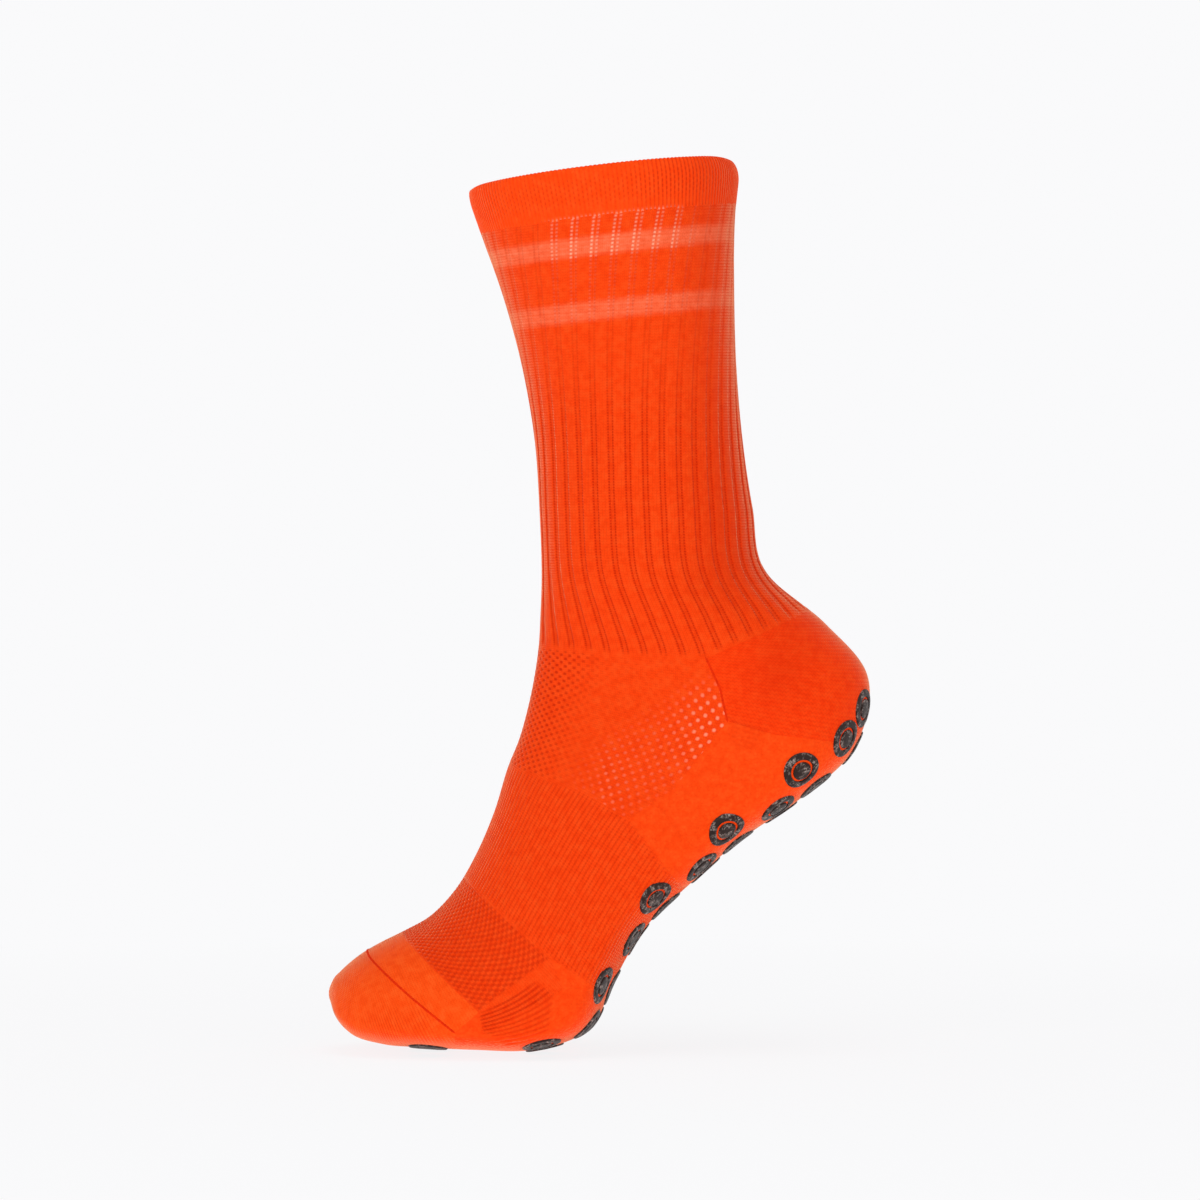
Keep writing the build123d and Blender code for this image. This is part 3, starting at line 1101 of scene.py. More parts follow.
@dataclass(frozen=True)
class WeltFinish:
    """The turned welt: a groove between all its wales, darkened with painted shade, with short dark dashes in it."""

    name: str = "welt_rib"
    yarn: YarnTone = ORANGE
    course: float = 2.0
    stitch_depth: float = 0.00012
    dye: Dye = Dye(pale=0.28, dark=0.0)
    fuzz: Fuzz = Fuzz()

    def build(self) -> bpy.types.Material:
        """Make the material."""
        shader = Shader(self.name)
        wale, along = shader.knit_map()
        near = wale.to_whole() * 2
        stagger = ((wale + 0.5).whole() / 2).fract()
        dash = (along / self.course + stagger).to_whole().rise(0.12, 0.3)
        line = 1 - near.rise(0.0, 0.7)
        # Painted shade in the groove, stronger towards the front and the back of the leg.
        groove = line * (0.14 + dash * shader.attribute("fade") * 0.4 + shader.attribute("ribs") * 0.36)
        tone = self.dye.flecks(shader, self.yarn.face, self.yarn.light, self.yarn.gap)
        tone = shader.blend(groove * 0.8, tone, self.yarn.gap)
        # Painted light seen through the eyelets along the welt's lower edge.
        eyelet = (1 - near.rise(0.25, 0.75)) * shader.attribute("spots")
        tone = shader.blend(eyelet, tone, SEEN_THROUGH_LIGHT)
        shader.set("Base Color", self.yarn.shaded(shader, tone))
        self.fuzz.dress(shader)
        shader.bump((1 - groove) * 0.7 + self.fuzz.nap(shader), self.stitch_depth)
        return shader.material


@dataclass(frozen=True)
class ThreadFinish:
    """Plain twisted thread for seams and elastic."""

    name: str
    tone: Colour
    deep: Colour
    twist_depth: float = 0.0002

    def build(self) -> bpy.types.Material:
        """Make the material."""
        shader = Shader(self.name)
        twist = shader.noise(900.0, 3.0)
        shader.set("Base Color", shader.blend(twist.rise(0.3, 0.8) * 0.5, self.tone, self.deep))
        Fuzz(weight=0.1).dress(shader)
        shader.bump(twist, self.twist_depth)
        return shader.material


@dataclass(frozen=True)
class SiliconeFinish:
    """Printed silicone, a matt brown near black with a fine grey speckle, partly wear and partly painted glints of
    gloss.
    """

    name: str = "silicone"
    tone: Colour = colour(36, 18, 12)
    speckle: Colour = colour(172, 156, 148)
    grain_depth: float = 0.00018

    def build(self) -> bpy.types.Material:
        """Make the material."""
        shader = Shader(self.name)
        grain = shader.noise(1400.0, 3.0, 0.7)
        lumps = shader.noise(420.0, 3.0, 0.6)
        # Grey speckle painted into the colour: partly wear, partly painted glints standing in for gloss reflections.
        glint_and_wear = lumps.rise(0.46, 0.66) * grain.rise(0.4, 0.62) * 0.75
        shader.set("Base Color", shader.blend(glint_and_wear, self.tone, self.speckle))
        shader.set("Roughness", 0.4 + lumps * 0.2)
        shader.set("Specular IOR Level", 0.22)
        shader.bump(grain * 0.5 + lumps, self.grain_depth)
        return shader.material


# ---- Building pieces ----


def finish_piece(piece: bpy.types.Object, material: bpy.types.Material, slot: str, *nodes: str) -> bpy.types.Object:
    """Dress a piece, hang it on the sock's body and let it stand for its CAD nodes.

    Args:
        piece: The piece.
        material: Its material.
        slot: Its material slot in the record; not used.
        nodes: The CAD nodes that it stands for.

    Returns:
        The piece.
    """
    piece.data.materials.clear()
    piece.data.materials.append(material)
    piece.data.polygons.foreach_set("use_smooth", np.ones(len(piece.data.polygons), bool))
    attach(piece, BODY)
    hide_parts(*nodes)
    log.info("%s: %d faces", piece.name, len(piece.data.polygons))
    return piece


def add_object(name: str, mesh: bpy.types.Mesh) -> bpy.types.Object:
    """A new object in the scene from a mesh.

    Args:
        name: Its name.
        mesh: Its mesh.

    Returns:
        The object.
    """
    piece = bpy.data.objects.new(name, mesh)
    bpy.context.scene.collection.objects.link(piece)
    return piece


def mesh_from(shape: bmesh.types.BMesh, name: str) -> bpy.types.Mesh:
    """A new mesh from a bmesh, which is freed.

    Args:
        shape: The bmesh.
        name: Its name.

    Returns:
        The mesh.
    """
    mesh = bpy.data.meshes.new(name)
    shape.to_mesh(mesh)
    shape.free()
    return mesh


def join_mesh(joined: bmesh.types.BMesh, mesh: bpy.types.Mesh) -> None:
    """Add a mesh to a bmesh and remove it."""
    joined.from_mesh(mesh)
    bpy.data.meshes.remove(mesh)


def grid_mesh(name: str, columns: int, rows: int) -> tuple[bpy.types.Mesh, np.ndarray, np.ndarray]:
    """A flat grid, and the column and row number of each of its points.

    Args:
        name: The mesh's name.
        columns: Faces across.
        rows: Faces down.

    Returns:
        The mesh, the column numbers and the row numbers.
    """
    grid = bmesh.new()
    bmesh.ops.create_grid(grid, x_segments=columns, y_segments=rows, size=1.0)
    mesh = mesh_from(grid, name)
    flat = np.empty(len(mesh.vertices) * 3)
    mesh.vertices.foreach_get("co", flat)
    flat = flat.reshape(-1, 3)
    column = np.rint((flat[:, 0] + 1) / 2 * columns).astype(int)
    row = np.rint((flat[:, 1] + 1) / 2 * rows).astype(int)
    return mesh, column, row


class Facing(Enum):
    """Which way the faces of a laid grid look."""

    OUT = "away from the leg"
    IN = "towards the middle of the leg"
    TUBE = "away from the middle of a closed tube"


def store_knit_map(mesh: bpy.types.Mesh, places: np.ndarray) -> None:
    """Write each point's wale and run into the UV map, unbroken where the last wale meets the first.

    Args:
        mesh: A grid's mesh of four-sided faces.
        places: Wale and run of each point, shape (points, 2).
    """
    corner = np.empty(len(mesh.loops), int)
    mesh.loops.foreach_get("vertex_index", corner)
    faces = places[corner].reshape(-1, 4, 2)
    wales = faces[..., 0]
    most = wales.max(1, keepdims=True)
    broken = (most - wales.min(1, keepdims=True) > WALES / 4) & (wales < WALES / 2)
    faces[..., 0] = np.where(broken, np.where(most > WALES, WALES - wales, wales + WALES), wales)
    layer = mesh.uv_layers.get("Knit") or mesh.uv_layers.new(name="Knit")
    layer.data.foreach_set("uv", faces.astype(np.float32).ravel())


def face_shell(shape: bmesh.types.BMesh, middle: Vector, facing: Facing) -> None:
    """Turn a shell's faces away from its middle or towards it.

    Args:
        shape: The shell, whose faces all look one way.
        middle: Its middle, in metres.
        facing: The way that they are to look.
    """
    shape.normal_update()
    shape.faces.ensure_lookup_table()
    sample = list(shape.faces)[:: max(len(shape.faces) // 500, 1)]
    outwards = sum(face.normal.dot(face.calc_center_median() - middle) for face in sample) >= 0
    if outwards != (facing is Facing.OUT):
        bmesh.ops.reverse_faces(shape, faces=shape.faces)


def lay_grid(
    name: str,
    points: np.ndarray,
    knit_map: np.ndarray,
    masks: dict[str, np.ndarray],
    closed: bool = True,
    pole: bool = False,
    join_rows: bool = False,
    facing: Facing = Facing.OUT,
) -> bpy.types.Mesh:
    """A mesh of a grid laid on given points.

    Args:
        name: The mesh's name.
        points: Points in millimetres, shape (rows, columns, 3).
        knit_map: Wale and run at each point, shape (rows, columns, 2).
        masks: Numbers stored on the points, each of shape (rows, columns).
        closed: Whether the last column meets the first.
        pole: Whether the last row is one point.
        join_rows: Whether the last row meets the first.
        facing: The way that its faces look.

    Returns:
        The mesh.
    """
    rows, columns = points.shape[0] - 1, points.shape[1] - 1
    mesh, column, row = grid_mesh(name, columns, rows)
    mesh.vertices.foreach_set("co", (points[row, column] * MM).ravel())
    for mask, values in masks.items():
        layer = mesh.attributes.new(mask, "FLOAT", "POINT")
        layer.data.foreach_set("value", values[row, column].astype(np.float32))
    store_knit_map(mesh, knit_map[row, column])
    shape = bmesh.new()
    shape.from_mesh(mesh)
    shape.verts.ensure_lookup_table()
    meeting = closed & ((column == 0) | (column == columns))
    meeting |= join_rows & ((row == 0) | (row == rows))
    meeting |= pole & (row == rows)
    if meeting.any():
        chosen = [shape.verts[i] for i in np.nonzero(meeting)[0]]
        bmesh.ops.remove_doubles(shape, verts=chosen, dist=MERGE)
    if facing is Facing.TUBE:
        bmesh.ops.holes_fill(shape, edges=shape.edges, sides=0)
        bmesh.ops.recalc_face_normals(shape, faces=shape.faces)
    else:
        face_shell(shape, Vector(points.reshape(-1, 3).mean(0) * MM), facing)
    shape.to_mesh(mesh)
    shape.free()
    return mesh


def trim(mesh: bpy.types.Mesh, outline: Sequence[Point2], margin: float) -> None:
    """Cut a mesh along an outline in the side view and keep what lies inside it.

    Args:
        mesh: The mesh, in metres.
        outline: The closed outline, in millimetres.
        margin: The size of the mesh's faces, in millimetres.
    """
    centres = np.empty(len(mesh.polygons) * 3)
    mesh.polygons.foreach_get("center", centres)
    centres = centres.reshape(-1, 3) / MM
    x, z = centres[:, 0], centres[:, 2]
    within = inside(outline, x, z)
    near = distance_to(outline, x, z, close=True) < margin
    shape = bmesh.new()
    shape.from_mesh(mesh)
    shape.faces.ensure_lookup_table()
    border = {shape.faces[i] for i in np.nonzero(near)[0]}
    away = [shape.faces[i] for i in np.nonzero(~near & ~within)[0]]
    bmesh.ops.delete(shape, geom=away, context="FACES")
    for (ax, az), (bx, bz) in zip(outline, [*outline[1:], outline[0]]):
        border = {face for face in border if face.is_valid}
        listed = list(border)
        if not listed:
            break
        middles = np.array([face.calc_center_median() for face in listed]) / MM
        close = distance_to([(ax, az), (bx, bz)], middles[:, 0], middles[:, 2]) < margin
        faces = [face for face, chosen in zip(listed, close) if chosen]
        if not faces:
            continue
        edges = {edge for face in faces for edge in face.edges}
        verts = {vert for face in faces for vert in face.verts}
        cut = bmesh.ops.bisect_plane(
            shape,
            geom=[*faces, *edges, *verts],
            dist=MERGE,
            plane_co=(ax * MM, 0, az * MM),
            plane_no=(-(bz - az), 0, bx - ax),
        )
        for part in cut["geom_cut"]:
            border.update(part.link_faces)
    listed = [face for face in border if face.is_valid]
    if listed:
        middles = np.array([face.calc_center_median() for face in listed]) / MM
        within = inside(outline, middles[:, 0], middles[:, 2])
        outer = [face for face, kept in zip(listed, within) if not kept]
        bmesh.ops.delete(shape, geom=outer, context="FACES")
    loose = [vert for vert in shape.verts if not vert.link_faces]
    bmesh.ops.delete(shape, geom=loose, context="VERTS")
    shape.to_mesh(mesh)
    shape.free()


@dataclass(frozen=True)
class Panel:
    """One knitted zone: its name, outline, slot and finish, its columns round the sock and its rows' pitch."""

    name: str
    outline: tuple[Point2, ...]
    slot: str
    finish: KnitFinish
    columns: int
    row_pitch: float

    @property
    def knit(self) -> Knit:
        """The way that it is knitted."""
        return self.finish.knit


@dataclass(frozen=True)
class PaintedShade:
    """Painted shade: a deeper tone towards the back of the leg and in the middle of the heel, where shade falls."""

    leg_strength: float = 0.6
    leg_rise: Point2 = (22, 52)
    leg_end: Point2 = (150, 190)
    heel_strength: float = 0.5
    heel_middle: Point2 = (69, -197)
    heel_spread: Point2 = (13, 15)

    def at(self, x: np.ndarray, z: np.ndarray) -> np.ndarray:
        """How strong the painted shade is at points of the side view, from 0 to 1.

        Args:
            x: Places along X.
            z: Heights.

        Returns:
            Numbers of the same shape.
        """
        (middle_x, middle_z), (spread_x, spread_z) = self.heel_middle, self.heel_spread
        heel = np.exp(-(((x - middle_x) / spread_x) ** 2) - ((z - middle_z) / spread_z) ** 2)
        leg = smooth_step(x, *self.leg_rise) * (1 - smooth_step(-z, *self.leg_end))
        return self.leg_strength * leg + self.heel_strength * heel


@dataclass
class SockSkin:
    """All the knitted zones below the welt, laid on one form."""

    form: SockForm
    relief: Relief
    tone: PaintedShade = PaintedShade()
    stripe_strengths: Point2 = (1.0, 0.85)
    stripe_blur: float = 2.2
    ladder_front: Point2 = (-26, -16)
    ladder_back: Point2 = (26, 40)
    ladder_drops: tuple[float, ...] = (16, 22.5, 24.5, 31, 32.5, 47, 49.5, 56, 58)
    ladder_strengths: tuple[float, ...] = (0.36, 0.36, 0.6, 0.6, 0.08, 0.06, 0.15, 0.12, 0)
    eyelet_line: tuple[Point2, Point2] = ((41.5, -215.5), (2.0, -241.0))
    eyelet_reach: Point2 = (5, 20)
    eyelet_places: tuple[float, ...] = (-3, 1, 6, 14, 25, 33, 38)
    eyelet_strengths: tuple[float, ...] = (0.08, 0.26, 0.2, 0.14, 0.18, 0.34, 0.6)
    probes: int = 160
    girth: float = 340.0

    def build(self, panels: Iterable[Panel]) -> dict[str, bpy.types.Object]:
        """Make every panel.

        Args:
            panels: The panels.

        Returns:
            The made pieces by name.
        """
        materials: dict[str, bpy.types.Material] = {}
        made = {}
        for panel in panels:
            if panel.finish.name not in materials:
                materials[panel.finish.name] = panel.finish.build()
            mesh = self.panel_mesh(panel)
            piece = add_object(f"{panel.name}_knit", mesh)
            made[panel.name] = finish_piece(piece, materials[panel.finish.name], panel.slot, panel.name)
        return made

    def reach_of(self, panel: Panel) -> tuple[float, float, int, int]:
        """The rows and columns of the form that a panel covers.

        Args:
            panel: The panel.

        Returns:
            The first and last distance along, and the first and last column.
        """
        side = self.probes // 2
        numbers = range(-side, side)
        turns = np.array(numbers) / self.probes
        along = np.linspace(0, self.form.length, 300)
        lattice = self.form.lattice(turns, along)
        within = inside(panel.outline, lattice.points[..., 0], lattice.points[..., 2])
        rows = np.nonzero(within.any(1))[0]
        start, end = along[max(rows[0] - 2, 0)], along[min(rows[-1] + 2, len(along) - 1)]
        used = within.any(0)
        step = panel.columns // self.probes
        half = panel.columns // 2
        if used.all() or (used[0] and used[side]):
            return start, end, -half, half
        hits = [abs(number) for number, hit in zip(numbers, used) if hit]
        if used[0]:
            first = max(min(hits) - 3, 0) * step
            return start, end, first, panel.columns - first
        last = min(max(hits) + 3, side) * step
        return start, end, -last, last

    def panel_mesh(self, panel: Panel) -> bpy.types.Mesh:
        """The mesh of one panel, with its relief, cut along its outline.

        Args:
            panel: The panel.

        Returns:
            The mesh.
        """
        start, end, first, last = self.reach_of(panel)
        turns = np.arange(first, last + 1) / panel.columns
        rows = max(int(math.ceil((end - start) / panel.row_pitch)), 2)
        along = np.linspace(start, end, rows + 1)
        lattice = self.form.lattice(turns, along)
        x, z = lattice.points[..., 0], lattice.points[..., 2]
        height = self.relief.height(panel.knit, lattice, panel.outline)
        points = lattice.points + lattice.normals() * height[..., None]
        closed = last - first == panel.columns
        knit_map = np.stack([lattice.wales, lattice.along], -1)
        pole = end >= self.form.length - 1e-6
        if pole:
            points[-1] = points[-1].mean(0)
        masks = {
            "fade": self.fade(panel, x, z),
            "spots": self.spots(panel, x, z),
            # Painted shade towards the back of the leg and in the middle of the heel.
            "shade": self.tone.at(x, z),
            # Painted shade in the fold valleys.
            "valley": self.relief.valleys(lattice),
        }
        if panel.knit is Knit.WIDE_RIB:
            masks["stripe"] = self.stripes(x, z)
        mesh = lay_grid(panel.name, points, knit_map, masks, closed, pole)
        face_size = max(panel.row_pitch, self.girth / panel.columns)
        trim(mesh, panel.outline, margin=1.6 * face_size + 0.6)
        return mesh

    def fade(self, panel: Panel, x: np.ndarray, z: np.ndarray) -> np.ndarray:
        """How strongly the panel's own pattern shows.

        Args:
            panel: The panel.
            x: Places along X.
            z: Heights.

        Returns:
            Strengths of the same shape.
        """
        shown = self.relief.fade(panel.knit, x, z, panel.outline)
        if panel.knit is Knit.MESH:
            front = [self.form.foot_point(0.43, 0.34), self.form.foot_point(0.60, 0.19)]
            return shown * (0.15 + 0.85 * (1 - smooth_step(distance_to(front, x, z), 12, 32)))
        if panel.knit is Knit.TOE:
            return shown * between(x, (-100, -90), (-74, -62)) * (1 - smooth_step(z, -336, -322))
        return shown

    def spots(self, panel: Panel, x: np.ndarray, z: np.ndarray) -> np.ndarray:
        """How strongly the painted light seen through the knit's openings shows.

        Args:
            panel: The panel.
            x: Places along X.
            z: Heights.

        Returns:
            Strengths of the same shape.
        """
        if panel.knit is Knit.WIDE_RIB:
            down = np.interp(self.form.drop(x, z), self.ladder_drops, self.ladder_strengths)
            return between(x, self.ladder_front, self.ladder_back) * down
        if panel.knit is Knit.MESH:
            near = 1 - smooth_step(distance_to(self.eyelet_line, x, z), *self.eyelet_reach)
            return near * np.interp(x, self.eyelet_places, self.eyelet_strengths)
        return np.zeros_like(x)

    def stripes(self, x: np.ndarray, z: np.ndarray) -> np.ndarray:
        """How much coral yarn is knitted in, with soft edges to both stripes.

        Args:
            x: Places along X.
            z: Heights.

        Returns:
            Strengths of the same shape.
        """
        drop, bands = self.form.drop(x, z), self.form.bands
        half, blur = bands.stripe / 2, self.stripe_blur
        return sum(
            strength * smooth_step(half - np.abs(drop - start - half), -blur / 3, blur)
            for start, strength in zip((bands.first_stripe, bands.second_stripe), self.stripe_strengths)
        )


@dataclass
class Welt:
    """The turned top edge: an outer layer folded over the rim, its inner layer and elastic yarn."""

    form: SockForm
    gauge: KnitGauge = KnitGauge()
    tone: PaintedShade = PaintedShade()
    fold: float = 1.3
    puff: float = 0.1
    curl: float = 0.55
    columns: int = 1080
    outer_rows: int = 24
    fold_rows: int = 8
    inner_rows: int = 12
    rib_height: float = 0.22
    elastic_rounds: int = 5
    elastic_radius: float = 0.35
    elastic_sides: int = 8
    elastic_spacing: int = 4
    lean: float = 5.0
    lean_depth: float = 9.0
    lean_roundness: float = 0.998
    front_lean: float = 0.45
    spot_strength: float = 0.42
    spot_front: Point2 = (-26, -16)
    spot_back: Point2 = (24, 34)

    def edge_along(self, turns: np.ndarray, level: Callable[[np.ndarray], np.ndarray]) -> np.ndarray:
        """How far along the sock each column meets a level line.

        Args:
            turns: Shares of a turn.
            level: Height of the line at places across the leg.

        Returns:
            The distance along for each column.
        """
        along = np.linspace(0, 60, 240)
        lattice = self.form.lattice(turns, along)
        above = lattice.points[..., 2] - level(lattice.points[..., 0])
        return np.array([np.interp(0, -above[:, c], along) for c in range(len(turns))])

    def lines(self) -> tuple[np.ndarray, np.ndarray, np.ndarray]:
        """The columns, and where each meets the rim and the welt's lower edge."""
        turns = np.arange(self.columns + 1) / self.columns
        rim = self.edge_along(turns, self.form.rim_level)
        height = self.form.bands.welt
        slope = self.form.level_slope(height)
        low = self.edge_along(turns, lambda x: -height + slope * x)
        return turns, rim, low

    def surface(self, turns: np.ndarray, along: np.ndarray, rim: np.ndarray) -> tuple[Lattice, np.ndarray]:
        """Points and outward directions of the welt, which leans into the leg at its front and back.

        Args:
            turns: Shares of a turn, shape (columns,).
            along: Distances along, shape (rows, columns).
            rim: Where each column meets the rim, shape (columns,).

        Returns:
            The points and the directions.
        """
        lattice = self.form.place(np.repeat(turns[None], len(along), 0), along)
        x = lattice.points[..., 0]
        share = np.clip(x / (self.form.cuff_depth / 2), -1, 1)
        below = np.clip((along - rim[None]) / self.lean_depth, 0, 1)
        lean = self.lean * (1 - np.sqrt(1 - (1 - below) ** 2 * self.lean_roundness))
        side = np.sign(share) * share**2 * np.where(share > 0, 1.0, self.front_lean)
        lattice.points[..., 0] = x - lean * side
        return lattice, lattice.normals()

    def build(self) -> list[bpy.types.Object]:
        """Make the welt's outer layer, its inner layer and the elastic."""
        material = WeltFinish().build()
        turns, rim, low = self.lines()
        outer = self.outer_layer(turns, rim, low, material)
        inner = self.inner_layer(turns, rim, low, material)
        return [outer, inner, self.elastic(turns, rim, low)]

    def ribs(self, turns: np.ndarray) -> np.ndarray:
        """Height of the fine ribs round the welt."""
        near = np.abs((turns * self.gauge.wales + 0.5) % 1 - 0.5) * 2
        return self.rib_height * (smooth_step(near, 0.0, 0.8) - 1)

    def outer_layer(
        self, turns: np.ndarray, rim: np.ndarray, low: np.ndarray, material: bpy.types.Material
    ) -> bpy.types.Object:
        """The outer layer from its lower edge up and over the fold.

        Args:
            turns: Shares of a turn, shape (columns,).
            rim: Where each column meets the rim.
            low: Where each column meets the welt's lower edge.
            material: The knit's material.

        Returns:
            The piece.
        """
        share = np.linspace(0, 1, self.outer_rows + 1)[:, None]
        top = rim + self.fold
        along = low[None] + share * (top - low)[None]
        lattice, normals = self.surface(turns, along, rim)
        edge = np.minimum((low[None] - along) / 1.2, 1)
        curl = -self.curl * (1 - np.sqrt(np.clip(1 - (1 - edge) ** 2, 0, 1)))
        lift = self.puff + curl + self.ribs(lattice.turns)
        outer = lattice.points + normals * lift[..., None]
        upward = np.gradient(lattice.points, axis=0)[-1]
        upward /= np.linalg.norm(upward, axis=-1, keepdims=True)
        ribs = self.ribs(turns)
        centre = lattice.points[-1] + normals[-1] * (self.puff - self.fold)
        bends = np.linspace(0, math.pi, self.fold_rows + 1)[1:]
        fold = np.array([
            centre + (self.fold + ribs[:, None]) * (math.cos(bend) * normals[-1] + math.sin(bend) * upward)
            for bend in bends
        ])
        points = np.concatenate([outer, fold])
        down = np.concatenate([along, along[-1] - np.outer(bends * self.fold, np.ones(len(turns)))])
        knit_map = np.stack([np.repeat(turns[None] * self.gauge.wales, len(points), 0), down], -1)
        masks = self.outer_masks(points[..., 0], points[..., 2], low[None] - down)
        mesh = lay_grid("welt_outer_layer", points, knit_map, masks)
        piece = add_object("welt_outer_knit", mesh)
        return finish_piece(piece, material, "knit_orange", "welt_outer_layer")

    def outer_masks(self, x: np.ndarray, z: np.ndarray, above: np.ndarray) -> dict[str, np.ndarray]:
        """How strongly each of the outer layer's patterns shows.

        Args:
            x: Places along X.
            z: Heights.
            above: Distances above the welt's lower edge.

        Returns:
            The strengths by name: pale spots of painted light seen through, dashes, painted shade in the grooves and
                the deeper painted shade.
        """
        spots = between(x, self.spot_front, self.spot_back) * np.exp(-(((above - 0.8) / 0.6) ** 2))
        return {
            "spots": self.spot_strength * spots,
            "fade": smooth_step(above, 2.5, 8.0) * (1 - 0.6 * smooth_step(above, 14.0, 18.0)),
            "ribs": smooth_step(x, 4, 28) + 0.8 * (1 - smooth_step(x, -46, -36)),
            "shade": self.tone.at(x, z),
        }

    def inner_layer(
        self, turns: np.ndarray, rim: np.ndarray, low: np.ndarray, material: bpy.types.Material
    ) -> bpy.types.Object:
        """The inner layer from the fold down inside the leg.

        Args:
            turns: Shares of a turn, shape (columns,).
            rim: Where each column meets the rim.
            low: Where each column meets the welt's lower edge.
            material: The knit's material.

        Returns:
            The piece.
        """
        share = np.linspace(0, 1, self.inner_rows + 1)[:, None]
        top = rim + self.fold
        along = top[None] + share * (low - top)[None]
        lattice, normals = self.surface(turns, along, rim)
        lift = self.puff - 2 * self.fold - self.ribs(lattice.turns)
        points = lattice.points + normals * lift[..., None]
        knit_map = np.stack([lattice.wales, lattice.along], -1)
        masks = {name: np.zeros(lattice.along.shape) for name in ("spots", "fade", "ribs", "shade")}
        mesh = lay_grid("welt_inner_layer", points, knit_map, masks, facing=Facing.IN)
        piece = add_object("welt_inner_knit", mesh)
        return finish_piece(piece, material, "knit_orange", "welt_inner_layer")

    def elastic(self, turns: np.ndarray, rim: np.ndarray, low: np.ndarray) -> bpy.types.Object:
        """Rounds of elastic yarn between the two layers.

        Args:
            turns: Shares of a turn, shape (columns,).
            rim: Where each column meets the rim.
            low: Where each column meets the welt's lower edge.

        Returns:
            The piece.
        """
        spaced = slice(None, None, self.elastic_spacing)
        joined = bmesh.new()
        bends = np.linspace(0, 2 * math.pi, self.elastic_sides + 1)
        for turn in range(self.elastic_rounds):
            share = (turn + 1) / (self.elastic_rounds + 1)
            level = low + share * (rim + self.fold - low)
            along = np.stack([level, level + 0.5])
            lattice, normals = self.surface(turns, along, rim)
            centre = (lattice.points[0] + normals[0] * (self.puff - self.fold))[spaced]
            out = normals[0][spaced]
            up = np.gradient(lattice.points, axis=0)[0][spaced]
            up /= np.linalg.norm(up, axis=-1, keepdims=True)
            ring = np.array([
                centre + self.elastic_radius * (math.cos(bend) * out + math.sin(bend) * up) for bend in bends
            ])
            knit_map = np.zeros((*ring.shape[:2], 2))
            join_mesh(joined, lay_grid("elastic_round", ring, knit_map, {}, join_rows=True))
        bmesh.ops.recalc_face_normals(joined, faces=joined.faces)
        piece = add_object("welt_elastic_rounds", mesh_from(joined, "welt_elastic_yarn"))
        finish = ThreadFinish("elastic_yarn", colour(235, 190, 170), colour(200, 130, 104)).build()
        return finish_piece(piece, finish, "elastic_yarn", "welt_elastic_yarn")


